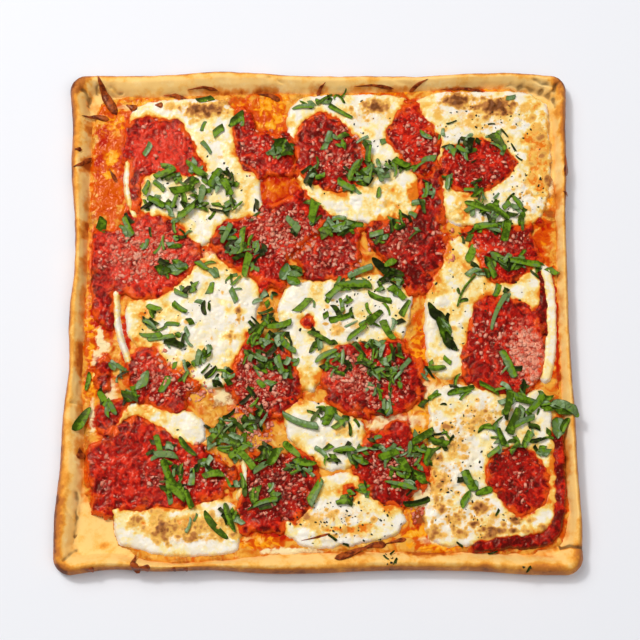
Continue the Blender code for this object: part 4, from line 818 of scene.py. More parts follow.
class Paint:
    """One material, its nodes built step by step. Lengths are millimetres."""

    def __init__(self, name, **settings):
        self.material = bpy.data.materials.new(name)
        self.material.use_nodes = True
        self.tree = self.material.node_tree
        self.tree.nodes.clear()
        self.shader = self.tree.nodes.new("ShaderNodeBsdfPrincipled")
        output = self.tree.nodes.new("ShaderNodeOutputMaterial")
        self.tree.links.new(self.shader.outputs[0], output.inputs[0])
        self.coordinates = self.tree.nodes.new("ShaderNodeTexCoord")
        for socket, value in settings.items():
            self.shader.inputs[socket.replace("_", " ")].default_value = value

    def feed(self, socket, value):
        """Links a node's output to a socket, or sets the socket to a number or a colour."""
        if isinstance(value, bpy.types.NodeSocket):
            self.tree.links.new(value, socket)
        else:
            socket.default_value = value

    def attribute(self, name):
        """The named value at the mesh's points."""
        node = self.tree.nodes.new("ShaderNodeAttribute")
        node.attribute_name = name
        return node.outputs["Fac"]

    def noise(self, wavelength, detail=2.0, roughness=0.5, distortion=0.0):
        """Noise of that wavelength in the object's own space."""
        node = self.tree.nodes.new("ShaderNodeTexNoise")
        self.tree.links.new(self.coordinates.outputs["Object"], node.inputs["Vector"])
        node.inputs["Scale"].default_value = 1 / (wavelength * MM)
        node.inputs["Detail"].default_value = detail
        node.inputs["Roughness"].default_value = roughness
        node.inputs["Distortion"].default_value = distortion
        return node.outputs["Fac"]

    def cells(self, wavelength):
        """Distance to the nearest of scattered points, that far apart."""
        node = self.tree.nodes.new("ShaderNodeTexVoronoi")
        self.tree.links.new(self.coordinates.outputs["Object"], node.inputs["Vector"])
        node.inputs["Scale"].default_value = 1 / (wavelength * MM)
        return node.outputs["Distance"]

    def maths(self, operation, first, second=0.0):
        """One operation on one or two values."""
        node = self.tree.nodes.new("ShaderNodeMath")
        node.operation = operation
        self.feed(node.inputs[0], first)
        self.feed(node.inputs[1], second)
        return node.outputs[0]

    def added(self, first, *others):
        """Sum of all the values."""
        for value in others:
            first = self.maths("ADD", first, value)
        return first

    def band(self, value, low, high, start=0.0, end=1.0):
        """Smooth step of a value from low to high, giving start to end."""
        node = self.tree.nodes.new("ShaderNodeMapRange")
        node.interpolation_type = "SMOOTHSTEP"
        self.feed(node.inputs["Value"], value)
        node.inputs["From Min"].default_value = low
        node.inputs["From Max"].default_value = high
        node.inputs["To Min"].default_value = start
        node.inputs["To Max"].default_value = end
        return node.outputs["Result"]

    def mix(self, share, first, second):
        """Blend of two colours."""
        node = self.tree.nodes.new("ShaderNodeMix")
        node.data_type = "RGBA"
        self.feed(node.inputs[0], share)
        self.feed(node.inputs[6], first)
        self.feed(node.inputs[7], second)
        return node.outputs[2]

    def over(self, tone, value, *coats):
        """Coats over a tone: each appears while the value rises from its low to its high, until it
        covers its share of what is under it."""
        for low, high, cover, coat in coats:
            tone = self.mix(self.band(value, low, high, 0.0, cover), tone, coat)
        return tone

    def relief(self, *heights):
        """Normal bent by heights one over the other, each with its depth and strength."""
        normal = None
        for height, depth, strength in heights:
            node = self.tree.nodes.new("ShaderNodeBump")
            node.inputs["Strength"].default_value = strength
            node.inputs["Distance"].default_value = depth * MM
            self.feed(node.inputs["Height"], height)
            if normal is not None:
                self.feed(node.inputs["Normal"], normal)
            normal = node.outputs[0]
        return normal

    def finish(self, tone, roughness, normal=None):
        """Links what was built to the shader."""
        self.feed(self.shader.inputs["Base Color"], tone)
        self.feed(self.shader.inputs["Roughness"], roughness)
        if normal is not None:
            self.feed(self.shader.inputs["Normal"], normal)
        return self.material


def colour(red, green, blue):
    """A screen colour from 0 to 255 as linear light with full cover."""
    share = np.array([red, green, blue]) / 255
    linear = np.where(share <= 0.04045, share / 12.92, ((share + 0.055) / 1.055)**2.4)
    return (*linear.tolist(), 1.0)


# Food throws back warm light, so its gloss takes a warm tint.
WARM = (1.0, 0.74, 0.52, 1.0)


def crust_paint():
    """Baked dough: cream to brown by how well it is baked, with oil stains and fine pores."""
    paint = Paint("baked_dough", IOR=1.42, Specular_IOR_Level=0.2, Specular_Tint=WARM)
    mottle = paint.noise(11.0, 4.0, 0.62)
    fine = paint.noise(1.8, 3.0, 0.6)
    pores = paint.band(paint.cells(2.6), 0.0, 0.35)
    cloudy = paint.band(mottle, 0.3, 0.7, -0.2, 0.2)
    # The bake value also carries painted light: the left and far slopes are painted paler to lift
    # their shade.
    baked = paint.added(paint.attribute("bake"), cloudy, paint.band(fine, 0.3, 0.7, -0.06, 0.06))
    stain = paint.added(paint.attribute("stain"), cloudy)
    cream, butter, gold = colour(255, 222, 154), colour(252, 206, 126), colour(248, 184, 86)
    amber, brown, scorched = colour(232, 152, 56), colour(196, 116, 48), colour(118, 58, 26)
    oily, burnt_oil, shaded = colour(228, 132, 30), colour(170, 66, 16), colour(120, 90, 52)
    tone = paint.over(cream, baked, (-0.6, -0.2, 1.0, butter), (-0.1, 0.25, 1.0, gold),
                      (0.15, 0.45, 1.0, amber), (0.4, 0.85, 1.0, brown), (0.9, 1.5, 1.0, scorched))
    tone = paint.over(tone, stain, (0.15, 0.8, 0.85, oily), (0.7, 1.2, 0.8, burnt_oil))
    # Painted shade in the rim's folds, darker where they press in deeper.
    tone = paint.over(tone, paint.attribute("crease"), (0.5, 2.8, 0.8, shaded))
    normal = paint.relief((fine, 0.2, 0.4), (mottle, 0.9, 0.35), (pores, 0.08, 0.4))
    return paint.finish(tone, paint.band(stain, 0.0, 0.8, 0.5, 0.3), normal)


def base_paint():
    """Oily melted cheese: orange with yellow, red and brown zones, wet, stringy and pitted."""
    paint = Paint("oily_cheese", IOR=1.45, Specular_IOR_Level=0.35, Specular_Tint=WARM)
    cloud = paint.noise(9.0, 2.5, 0.55, 1.0)
    string = paint.noise(6.4, 2.0, 0.5, 0.9)
    grain = paint.noise(1.5, 3.0, 0.6)
    broad = paint.band(cloud, 0.35, 0.65, -0.22, 0.22)
    streak = paint.band(string, 0.35, 0.65, -0.27, 0.27)
    orange = paint.added(paint.attribute("orange"), broad)
    yellow = paint.maths("SUBTRACT", paint.added(paint.attribute("yellow"), streak), broad)
    red = paint.added(paint.maths("SUBTRACT", paint.attribute("red"), streak), broad)
    pale = paint.added(paint.attribute("pale"), paint.band(string, 0.35, 0.65, -0.15, 0.15))
    toast = paint.added(paint.attribute("toast"), paint.band(grain, 0.35, 0.65, -0.15, 0.15))
    straw, ochre, thread = colour(232, 166, 62), colour(210, 122, 30), colour(244, 198, 104)
    tone = paint.over(straw, cloud, (0.35, 0.65, 1.0, ochre))
    tone = paint.over(tone, string, (0.5, 0.7, 0.7, thread))
    tone = paint.over(tone, orange, (0.05, 0.55, 1.0, colour(214, 84, 4)))
    tone = paint.over(tone, yellow, (0.3, 0.8, 1.0, colour(244, 156, 16)),
                      (0.75, 1.2, 1.0, colour(248, 186, 62)))
    tone = paint.over(tone, pale, (0.3, 0.9, 1.0, colour(244, 222, 170)))
    tone = paint.over(tone, red, (0.35, 1.0, 1.0, colour(182, 24, 2)))
    tone = paint.over(tone, toast, (0.2, 1.0, 0.85, colour(150, 76, 28)))
    normal = paint.relief((cloud, 1.6, 0.5), (string, 1.5, 0.6), (grain, 0.2, 0.5))
    return paint.finish(tone, paint.band(grain, 0.3, 0.7, 0.16, 0.26), normal)


def mozzarella_paint():
    """Melted white cheese with yellow oil, orange beside the sauce, and tan to brown blisters."""
    paint = Paint("melted_mozzarella", IOR=1.44, Specular_IOR_Level=0.6, Specular_Tint=WARM,
                  Subsurface_Weight=0.08, Subsurface_Scale=0.003, Subsurface_Radius=(1.0, 0.8, 0.5))
    cloud = paint.noise(8.0, 4.0, 0.62, 0.6)
    grain = paint.noise(1.6, 3.0, 0.6)
    curd = paint.band(paint.cells(3.0), 0.1, 0.7, 1.0, 0.0)
    oil = paint.added(paint.attribute("oil"), paint.band(cloud, 0.3, 0.7, -0.2, 0.2))
    oil = paint.maths("SUBTRACT", oil, paint.band(curd, 0.4, 0.9, -0.08, 0.12))
    toast = paint.added(paint.attribute("toast"), paint.band(grain, 0.3, 0.7, -0.08, 0.08))
    white, cream = colour(246, 240, 228), colour(241, 229, 200)
    buttery, yellow, orange = colour(249, 229, 162), colour(243, 192, 88), colour(230, 122, 24)
    tan, brown, dark = colour(240, 184, 88), colour(184, 118, 58), colour(104, 52, 22)
    tone = paint.over(white, cloud, (0.35, 0.65, 1.0, cream))
    tone = paint.over(tone, oil, (0.15, 0.5, 1.0, buttery), (0.45, 0.85, 1.0, yellow),
                      (0.85, 1.25, 1.0, orange))
    tone = paint.over(tone, toast, (0.05, 0.4, 1.0, tan), (0.35, 0.8, 1.0, brown),
                      (0.8, 1.2, 0.85, dark))
    tone = paint.over(tone, paint.attribute("red"), (0.25, 0.9, 0.95, colour(208, 54, 10)))
    normal = paint.relief((cloud, 1.2, 0.4), (curd, 0.35, 0.25), (grain, 0.35, 0.5))
    return paint.finish(tone, paint.band(toast, 0.0, 0.8, 0.24, 0.5), normal)


def sauce_paint():
    """Crushed tomato: deep red in the hollows, brighter on the lumps, orange at the shore, wet."""
    paint = Paint("crushed_tomato", IOR=1.42, Specular_IOR_Level=0.8, Specular_Tint=WARM)
    pulp = paint.noise(7.0, 4.0, 0.62, 0.8)
    lumps = paint.band(paint.cells(3.4), 0.0, 0.75, 1.0, 0.0)
    grain = paint.noise(1.3, 3.0, 0.6)
    rough = paint.noise(3.2, 3.0, 0.6, 0.6)
    crest = paint.added(paint.attribute("crest"), paint.band(pulp, 0.3, 0.7, -0.7, 0.6),
                        paint.band(rough, 0.3, 0.7, -0.35, 0.3),
                        paint.band(lumps, 0.0, 1.0, -0.06, 0.08))
    shore = paint.added(paint.attribute("oil"), paint.band(pulp, 0.3, 0.7, -0.35, 0.35))
    pale = paint.added(paint.attribute("pale"), paint.band(grain, 0.35, 0.65, -0.35, 0.35))
    deep, red, bright = colour(92, 3, 2), colour(160, 10, 5), colour(222, 42, 18)
    orange, pink, cheesy = colour(232, 84, 14), colour(226, 112, 86), colour(244, 168, 138)
    tone = paint.over(deep, crest, (-0.3, 0.5, 1.0, red), (0.5, 1.25, 1.0, bright))
    tone = paint.over(tone, shore, (0.3, 1.0, 0.95, orange))
    tone = paint.over(tone, pale, (0.2, 1.0, 0.75, pink), (0.9, 1.6, 0.8, cheesy))
    normal = paint.relief((pulp, 2.0, 0.6), (rough, 0.9, 0.6), (lumps, 0.4, 0.5),
                          (grain, 0.16, 0.4))
    return paint.finish(tone, paint.band(grain, 0.3, 0.7, 0.09, 0.17), normal)


def basil_paint():
    """Basil: dark to sage by tone, painted shade on its edges, dark lines of veins and crease
    shade.
    """
    paint = Paint("basil_leaf", IOR=1.4, Specular_IOR_Level=0.5, Specular_Tint=WARM)
    blotch = paint.noise(3.0, 3.0, 0.6)
    fibre = paint.noise(1.2, 2.0, 0.5)
    shade = paint.added(paint.attribute("tone"), paint.band(blotch, 0.3, 0.7, -0.14, 0.14))
    vein_and_crease_shade = paint.maths("SINE", paint.attribute("vein_and_crease_shade"))
    vein_and_crease_shade = paint.maths("MULTIPLY", vein_and_crease_shade, paint.band(paint.noise(6.0), 0.42, 0.6))
    wilted, deep, fresh = colour(24, 32, 8), colour(58, 84, 10), colour(109, 147, 26)
    sage, pale = colour(101, 129, 75), colour(150, 174, 136)
    tone = paint.over(wilted, shade, (-0.1, 0.3, 1.0, deep), (0.3, 0.58, 1.0, fresh),
                      (0.6, 0.8, 1.0, sage), (0.85, 1.2, 1.0, pale))
    # Painted shade: each piece darkens towards its edges and ends, as where pieces shade each
    # other.
    tone = paint.over(tone, paint.attribute("edge"), (0.72, 1.0, 0.6, colour(38, 54, 18)))
    # Dark lines: veins, and painted shade in the leaf's creases.
    tone = paint.over(tone, vein_and_crease_shade, (0.6, 1.0, 0.4, colour(30, 44, 10)))
    normal = paint.relief((fibre, 0.4, 0.5), (vein_and_crease_shade, 0.15, 0.5))
    return paint.finish(tone, paint.band(blotch, 0.3, 0.7, 0.34, 0.5), normal)


def plain_paint(name, low, high, wavelength, roughness, **settings):
    """Two near colours mottled by noise."""
    paint = Paint(name, **settings)
    mottle = paint.noise(wavelength, 3.0, 0.6)
    tone = paint.over(low, mottle, (0.35, 0.65, 1.0, high))
    return paint.finish(tone, roughness, paint.relief((mottle, 0.3, 0.5)))


def smooth_values(values, known, wanted):
    """Cubic interpolation of the values between uneven stations, with averaged slopes."""
    values, known = np.asarray(values, float), np.asarray(known, float)
    slope = np.gradient(values, known)
    index = np.clip(np.searchsorted(known, wanted) - 1, 0, len(known) - 2)
    width = known[index + 1] - known[index]
    t = (wanted - known[index]) / width
    return (
        (2 * t**3 - 3 * t**2 + 1) * values[index] + (t**3 - 2 * t**2 + t) * width * slope[index]
        + (3 * t**2 - 2 * t**3) * values[index + 1] + (t**3 - t**2) * width * slope[index + 1]
    )


def square_loop(sides, corner_reach, corner_radius):
    """Points round an uneven square, anticlockwise, in the part's frame: each side follows its
    reaches through a cubic interpolation, and quarter circles join the sides."""
    half = corner_reach - corner_radius
    station = np.linspace(-half, half, SIDE_STEPS)
    loop = []
    for turn, values in enumerate(sides):
        inner = np.linspace(-STATION_REACH, STATION_REACH, len(values))
        known = np.concatenate([[-half], inner, [half]])
        reach = smooth_values([corner_reach, *values, corner_reach], known, station)
        angle = (np.arange(1, CORNER_STEPS) / CORNER_STEPS) * math.pi / 2
        corner = half + corner_radius * np.column_stack([np.sin(angle), np.cos(angle)])
        run = np.concatenate([np.column_stack([station, reach]), corner])
        c, s = math.cos(-turn * math.pi / 2), math.sin(-turn * math.pi / 2)
        loop.append(run @ np.array([[c, s], [-s, c]]))
    return np.concatenate(loop)[::-1] - PHOTO_MIDDLE


def line_distance(x, y, start, end):
    """Distance in plan to the straight line between two places of the photograph's frame."""
    (ax, ay), (bx, by) = shifted(start), shifted(end)
    run_x, run_y = bx - ax, by - ay
    share = np.clip(((x - ax) * run_x + (y - ay) * run_y) / (run_x**2 + run_y**2), 0, 1)
    return np.hypot(x - ax - share * run_x, y - ay - share * run_y)


def fold_depth(x, y):
    """How deep the rim's folds press in: each is its depth times exp of minus the squared distance,
    with a noisy line and an uneven depth."""
    depth = np.zeros_like(x)
    moved_x, moved_y = x + 1.8 * noise(x, y, 7, 21), y + 1.8 * noise(x, y, 7, 22)
    for start, end, half_width, deepest in FOLDS:
        away = line_distance(moved_x, moved_y, start, end)
        depth += deepest * np.exp(-(away / half_width)**2)
    return depth * (0.85 + 0.5 * noise(x, y, 5, 23))


OUTER_LOOP = square_loop(REACH, CORNER_REACH, OUTER_CORNER)
FOOT_LOOP = square_loop(FOOT, FOOT_CORNER_REACH, INNER_CORNER)


def rim_surface():
    """Rim of the crust as rows of points round it: plan, height, fold depth, and each row's share
    of the rim's width and its height in the profile.

    Each row follows the rim's profile from the underside over the top to the foot. Three noises,
    each smaller than the one before, raise it, folds press in, the outer side swells outward and
    the foot wanders in and out.
    """
    run = [math.hypot(RIM_WIDTH * (b[0] - a[0]), b[1] - a[1])
           for a, b in zip(RIM_PROFILE, RIM_PROFILE[1:])]
    known = np.cumsum([0.0] + run)
    wanted = np.linspace(0, known[-1], PROFILE_STEPS)
    share = np.clip(smooth_values([row[0] for row in RIM_PROFILE], known, wanted), 0, 1)
    height = np.clip(smooth_values([row[1] for row in RIM_PROFILE], known, wanted), 0, RIM_TOP)
    outer, foot = OUTER_LOOP[None], FOOT_LOOP[None]
    plan = outer + share[:, None, None] * (foot - outer)
    x, y = plan[..., 0], plan[..., 1]
    up = height[:, None]
    lift = np.clip((up - RIM_STEADY) / (RIM_TOP - RIM_STEADY), 0, 1)
    crease = fold_depth(x, y)
    z = up + lift * (waves(x, y, RIM_SWELL) - crease)
    push = lift * (0.8 * noise(x + up, y, 11, 14) + 0.3 * noise(x, y + up, 4, 15))
    away = (outer - foot) / np.linalg.norm(outer - foot, axis=2, keepdims=True)
    outside = np.clip(1 - share / 0.3, 0, 1)[:, None]
    inside = smooth(0.5, 1.0, share)[:, None]
    moved = outside * push + inside * waves(x, y, RIM_FOOT_WANDER)
    return plan + moved[..., None] * away, z, crease, share, height


def bakedness(x, y, share, height, bare):
    """How well the dough is baked, from pale below 0 to dark brown at 1.

    It is high on the outer wall and the crown, wanders with noise and rises in the scorches. The
    inner slope is paler by a different amount on each side, the far side's outer edge is browner,
    the pale folds take most of it away, and half of it goes where the floor is bare. On the far
    side and the left inner slope the paleness is partly paler dough and partly painted light, which
    brightens slopes that face away from the lamps.
    """
    wall = smooth(0.3, 0.0, share) * (1 + 0.5 * layered(x, y, 24, 20))
    crown = np.exp(-((share - 0.2) / 0.4)**2) * smooth(6, 15, height)
    inner = smooth(0.35, 0.6, share) * smooth(1.01, 0.9, share)
    bake = BAKE + WALL_BAKE * wall + CROWN_BAKE * crown + BAKE_WANDER * layered(x, y, 16, 17)
    bake = bake + SCORCH_BAKE * spots(x, y, SCORCHES)
    paler_and_painted_light = LEFT_PALER_AND_PAINTED_LIGHT * smooth(*LEFT_RIGHT, -x) + RIGHT_PALER * smooth(*LEFT_RIGHT, x)
    paler_and_painted_light = paler_and_painted_light + FAR_PALER_AND_PAINTED_LIGHT * smooth(*FAR_NEAR, y) + NEAR_PALER * smooth(*FAR_NEAR, -y)
    edge = FAR_EDGE_BAKE * smooth(0.25, 0.0, share) - FAR_SIDE_PALER_AND_PAINTED_LIGHT
    bake = bake - inner * paler_and_painted_light + edge * smooth(*FAR_EDGE, y)
    pale = spots(x, y, PALE_FOLDS)
    bake = bake * (1 - 0.8 * pale) - 0.1 * pale
    return bake * (1 - 0.5 * bare * (share > 0.7)) - 0.02 * bare * (share > 0.95)


def oil_stain(x, y, share, bare):
    """Oil and tomato on the rim: its stains, and a noisy band that laps up from the foot. There is
    none where the floor is bare, and little on the right side near the far corner."""
    lapped = smooth(0.72, 1.0, share + 0.2 * layered(x, y, 8, 19))
    stain = 1.2 * spots(x, y, RIM_STAINS) + lapped * (0.4 + 0.55 * layered(x, y, 14, 18))
    clean = 0.85 * smooth(*FAR_PART, y) * smooth(*RIGHT_RIM, x)
    return np.clip(stain * (1 - bare) * (1 - clean), 0, 1.3)


def make_crust(rim):
    """The crust over the whole pie: the rim, then rings of the floor, which are the foot's loop
    shrunk towards the middle, then one face over the middle and one under the pie."""
    plan, z, crease, share, height = rim
    floor = FOOT_LOOP[None] * np.array(FLOOR_SHRINKS)[:, None, None]
    floor_z = FLOOR_TOP + 0.3 * noise(floor[..., 0], floor[..., 1], 12, 16)
    floor_z[-1] = FLOOR_TOP
    plan = np.concatenate([plan, floor])
    x, y = plan[..., 0], plan[..., 1]
    rings = len(FLOOR_SHRINKS)
    share = np.concatenate([share, np.full(rings, 1.0)])[:, None]
    height = np.concatenate([height, np.full(rings, FLOOR_TOP)])[:, None]
    away = np.hypot(*(plan - shifted(BARE_CORNER)).transpose(2, 0, 1))
    bare = smooth(*BARE_FADE, away)
    bake = bakedness(x, y, share, height, bare)
    bake[0] = UNDERSIDE_BAKE
    painted_crease_shade = np.concatenate([crease, np.zeros(floor_z.shape)])
    values = {"bake": bake, "stain": oil_stain(x, y, share, bare), "crease": painted_crease_shade}
    rows, columns = x.shape
    faces = grid_faces(rows, columns, closed=True)
    faces.append(list(range(columns))[::-1])
    faces.append(list(range((rows - 1) * columns, rows * columns)))
    points = np.stack([x, y, np.concatenate([z, floor_z])], axis=-1).reshape(-1, 3)
    piece = add_mesh("crust_baked", points, faces, values)
    piece.data.materials.append(crust_paint())
    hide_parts("crust")
    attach(piece, "root")


SHEET_NODES = sorted(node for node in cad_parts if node.startswith(SHEET_KINDS))


class Layers:
    """The fields that the cheese, the sauce and all that lies on them share."""

    def __init__(self, rim):
        self.cheese, self.sauce, self.top = Field(FAR), Field(FAR), Field(0)
        self.x, self.y = np.meshgrid(self.top.axis, self.top.axis)
        self.depth = {}
        self.measure_outlines()
        self.fill_gaps()
        self.curds = dapples(self.top, CURDS, CURD_SIZE, CURD_SEED)
        self.dapple = dapples(self.top, DAPPLES, DAPPLE_SIZE, DAPPLE_SEED)
        self.blister = spots(self.x, self.y, BLISTERS)
        self.shape_tops()
        self.top.values = np.maximum(self.base_z, self.rim_height(*rim[:2]))

    def measure_outlines(self):
        """Signed distance of the warped plan to each node's outline. Folds are warped less."""
        moved_x, moved_y = warped(self.x, self.y)
        for node in SHEET_NODES:
            edges = edges_of(node)
            part_of = window(self.top, edges[0].min(axis=0), edges[0].max(axis=0), -FAR)
            calm = 0.25 if "fold" in node else 1.0
            plan_x = self.x + calm * (moved_x - self.x)
            plan_y = self.y + calm * (moved_y - self.y)
            depth = edge_distance(plan_x[part_of], plan_y[part_of], edges)
            depth = depth + FOLD_GROWTH.get(node, OTHER_FOLD_GROWTH * ("fold" in node))
            self.depth[node] = (part_of, depth)
            field = self.cheese if node.startswith("mozzarella") else self.sauce
            field.values[part_of] = np.maximum(field.values[part_of], depth)

    def fill_gaps(self):
        """Sauce spreads over the gaps that are narrower than its spread, up to the cheese."""
        cheese = self.cheese.values
        near = smooth(2 * SPREAD, SPREAD, -cheese)
        for node, (part_of, depth) in self.depth.items():
            if node.startswith("sauce"):
                spread = np.minimum(depth + SPREAD * near[part_of], -cheese[part_of] - 0.1)
                depth = np.maximum(depth, spread)
                self.depth[node] = (part_of, depth)
                self.sauce.values[part_of] = np.maximum(self.sauce.values[part_of], depth)

    def shape_tops(self):
        """Heights of the cheese, the sauce and the base.

        Each is its level plus waves. The cheese also rises in curds, dapples and blisters and the
        sauce in lumps, and both rise from the base by a smooth step of their blurred cover.
        """
        x, y = self.x, self.y
        cover, pools = Field(0), Field(0)
        cover.values = (np.maximum(self.cheese.values, self.sauce.values) > -SPILL).astype(float)
        pools.values = (self.sauce.values > 0).astype(float)
        rise = smooth(*COVER_RISE, cover.blurred(COVER_BLUR).values)
        self.inland = smooth(*POOL_RISE, pools.blurred(POOL_BLUR).values)
        blistered = 0.6 * self.blister * (1 + noise(x, y, 3, 46))
        melted = waves(x, y, CHEESE_WAVES) + 1.3 * self.curds + 0.3 * self.dapple + blistered
        lumps = ridged(x, y, LUMP_LENGTH, LUMP_SEED)
        pulp = waves(x, y, SAUCE_WAVES) + 1.2 * (lumps - 0.5)
        self.crest = lumps + 0.45 * noise(x, y, 26, 52)
        self.slice_z = MELT_FOOT + rise * (SLICE_TOP + melted - MELT_FOOT)
        self.pool_z = MELT_FOOT + rise * (POOL_TOP + pulp - MELT_FOOT)
        self.base_z = BASE_TOP + waves(x, y, BASE_WAVES)

    def rim_height(self, plan, z):
        """Height of the rim in plan: the highest of its points in each cell and those round it."""
        height = np.zeros(self.x.shape)
        column, row = ((plan + FIELD_REACH) / PITCH + 0.5).astype(int).transpose(2, 0, 1)
        np.maximum.at(height, (row, column), z)
        for axis in (0, 1):
            height = np.maximum.reduce([np.roll(height, step, axis) for step in (-1, 0, 1)])
        return height

    def cheese_sheet(self, part_of, depth, folded):
        """Top and stains of one piece of mozzarella.

        The top falls by exp of minus the depth at its edge, further where no sauce meets it, with a
        low lip behind the edge. Oil and red are exp of minus the distance to the sauce, with noise;
        oil also lies in its pools, and the blisters and dapples are toasted.
        """
        x, y = self.x[part_of], self.y[part_of]
        sauce, blister = self.sauce.values[part_of], self.blister[part_of]
        dapple, curds = self.dapple[part_of], self.curds[part_of]
        within = np.maximum(depth, 0)
        fall = EDGE_FALL + OPEN_EDGE_FALL * smooth(*OPEN_EDGE, -sauce)
        top = self.slice_z[part_of] - fall * np.exp(-within / EDGE_WIDTH)
        top = top + OVERHANG_SLOPE * np.minimum(depth, 0)
        top = top + LIP_HEIGHT * np.exp(-((within - LIP_PLACE) / LIP_WIDTH)**2)
        if folded:
            top = top + FOLD_RISE * smooth(*FOLD_EDGE, within)
        near = np.maximum(-sauce - 1.6 * np.maximum(noise(x, y, 5, 61), 0), 0)
        reach = np.maximum(HALO_REACH + HALO_WANDER * noise(x, y, 12, 63), HALO_LEAST)
        halo = np.exp(-near / reach)
        oil = 1.15 * halo + 1.1 * spots(x, y, OIL_POOLS) + 0.25 * noise(x, y, 6, 65)
        oil = oil + 0.45 * smooth(-0.2, 0.5, noise(x, y, 18, 64))
        oil = oil + 0.3 * dapple + 0.3 * blister - 0.5 * curds
        toast = blister * (0.8 + 0.45 * noise(x, y, 4.5, 66)) + 0.64 * dapple
        red = np.exp(-near / JUICE_REACH) * (0.95 + 0.5 * noise(x, y, 5, 67))
        stained = 0.6 if folded else 1.0
        return top, {"oil": oil * stained, "toast": toast, "red": red * stained}

    def sauce_sheet(self, part_of, depth, thin):
        """Top and tones of one pool: it falls towards the shore, where it is oily by exp of minus
        the depth over its reach. Grated cheese pales it, and its tone follows the lumps."""
        x, y = self.x[part_of], self.y[part_of]
        shore = 1 - self.inland[part_of]
        slope = OVERHANG_SLOPE * np.minimum(depth, 0) * smooth(0.2, 0.8, shore)
        top = self.pool_z[part_of] - SHORE_FALL * shore + slope
        coast = np.exp(-np.maximum(self.sauce.values[part_of], 0) / COAST_REACH)
        oil = coast * (0.85 + 1.3 * noise(x, y, 9, 68)) * (0.25 if thin else 1.0)
        pale = spots(x, y, PALE_POOLS) * (0.6 + 0.6 * noise(x, y, 3.5, 69))
        crest = self.crest[part_of] + spots(x, y, SAUCE_TONES, 3) - spots(x, y, SAUCE_TONES)
        return top, {"oil": oil, "crest": crest, "pale": pale}

    def add_sheet(self, node):
        """The visible sheet of one square, fold, pool, run or drop, in place of its node."""
        part_of, depth = self.depth[node]
        if node.startswith("mozzarella"):
            top, values = self.cheese_sheet(part_of, depth, "fold" in node)
            finish, label = MOZZARELLA, "mozzarella"
        else:
            top, values = self.sauce_sheet(part_of, depth, "run" in node)
            finish, label = SAUCE, "tomato_sauce"
        under = self.top.values[part_of]
        self.top.values[part_of] = np.where(depth > 0, np.maximum(under, top), under)
        piece = sheet_from_grid(node + "_melted", self.x[part_of], self.y[part_of], depth + SPILL,
                                top, SHEET_UNDER, values)
        piece.data.materials.append(finish)
        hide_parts(node)
        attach(piece, "root")


def make_base(layers):
    """The oily cheese over the crust's floor, on every second point of the grid. It reaches the
    foot of the rim all round, except where its own outline stops short at the bare corner."""
    thinned = (slice(None, None, 2), slice(None, None, 2))
    x, y = layers.x[thinned], layers.y[thinned]
    corner = shifted(BASE_BARE_CORNER)
    reach = BASE_REACH * smooth(*BASE_BARE_FADE, np.hypot(x - corner[0], y - corner[1]))
    reach = reach - BASE_REACH_LOST * smooth(*RIGHT_BASE, x) * smooth(*FAR_PART, y)
    depth = edge_distance(*warped(x, y), edges_of("cheese_base")) + reach
    top = BASE_EDGE + smooth(0, 3.0, depth) * (layers.base_z[thinned] - BASE_EDGE)
    away = np.maximum(-layers.sauce.values[thinned], 0)
    near = 0.7 * np.exp(-away / BASE_HALO_REACH)
    browned = 0.6 * smooth(11, 4, depth) * smooth(-0.3, 0.5, noise(x, y, 16, 74))
    values = {
        "red": spots(x, y, BASE_ZONES) + near,
        "orange": spots(x, y, BASE_ZONES, 3) + near + 0.2 * noise(x, y, 14, 75),
        "yellow": spots(x, y, BASE_ZONES, 4),
        "toast": spots(x, y, BLISTERS) + browned + 0.6 * layers.dapple[thinned],
        "pale": spots(x, y, PALE_GAPS),
    }
    piece = sheet_from_grid("cheese_base_melted", x, y, depth, top, BASE_UNDER, values)
    piece.data.materials.append(base_paint())
    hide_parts("cheese_base")
    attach(piece, "root")


def strip_faces(stations, across):
    """Quads of a closed thin strip: its upper grid, its lower grid and the wall round them."""
    return closed_pair(np.array(grid_faces(stations, across)), stations * across)


def ground_line(x, y, layers):
    """Height of the ground under each strip's stations, smoothed along it and never below the
    average of its neighbours, so that a strip bridges hollows."""
    line = layers.top.at(x.mean(axis=2), y.mean(axis=2))
    for _ in range(BRIDGING):
        padded = np.concatenate([line[:, :1], line, line[:, -1:]], axis=1)
        average = line.mean(axis=1, keepdims=True)
        line = np.maximum(line * (1 - STRAIGHTENING) + STRAIGHTENING * average,
                          (padded[:, :-2] + padded[:, 1:-1] + padded[:, 2:]) / 3)
    return line


def pile_up(x, y, layers):
    """How much higher each strip lies at its stations, because of the strips laid before it."""
    piled = np.zeros(layers.top.values.shape)
    rise = np.zeros(x.shape[:2])
    for number, (line_x, line_y) in enumerate(zip(x, y)):
        i = np.clip(((line_x + FIELD_REACH) / PITCH).astype(int), 0, piled.shape[1] - 1)
        j = np.clip(((line_y + FIELD_REACH) / PITCH).astype(int), 0, piled.shape[0] - 1)
        under = piled[j, i].max(axis=1)
        level = np.minimum(0.5 * under.max() + 0.5 * under, LAYERS_AT_MOST)
        rise[number] = LAYER_RISE * level
        for di in (-1, 0, 1):
            for dj in (-1, 0, 1):
                cell = (j + dj, i + di)
                piled[cell] = np.maximum(piled[cell], (level + 1)[:, None])
    return rise


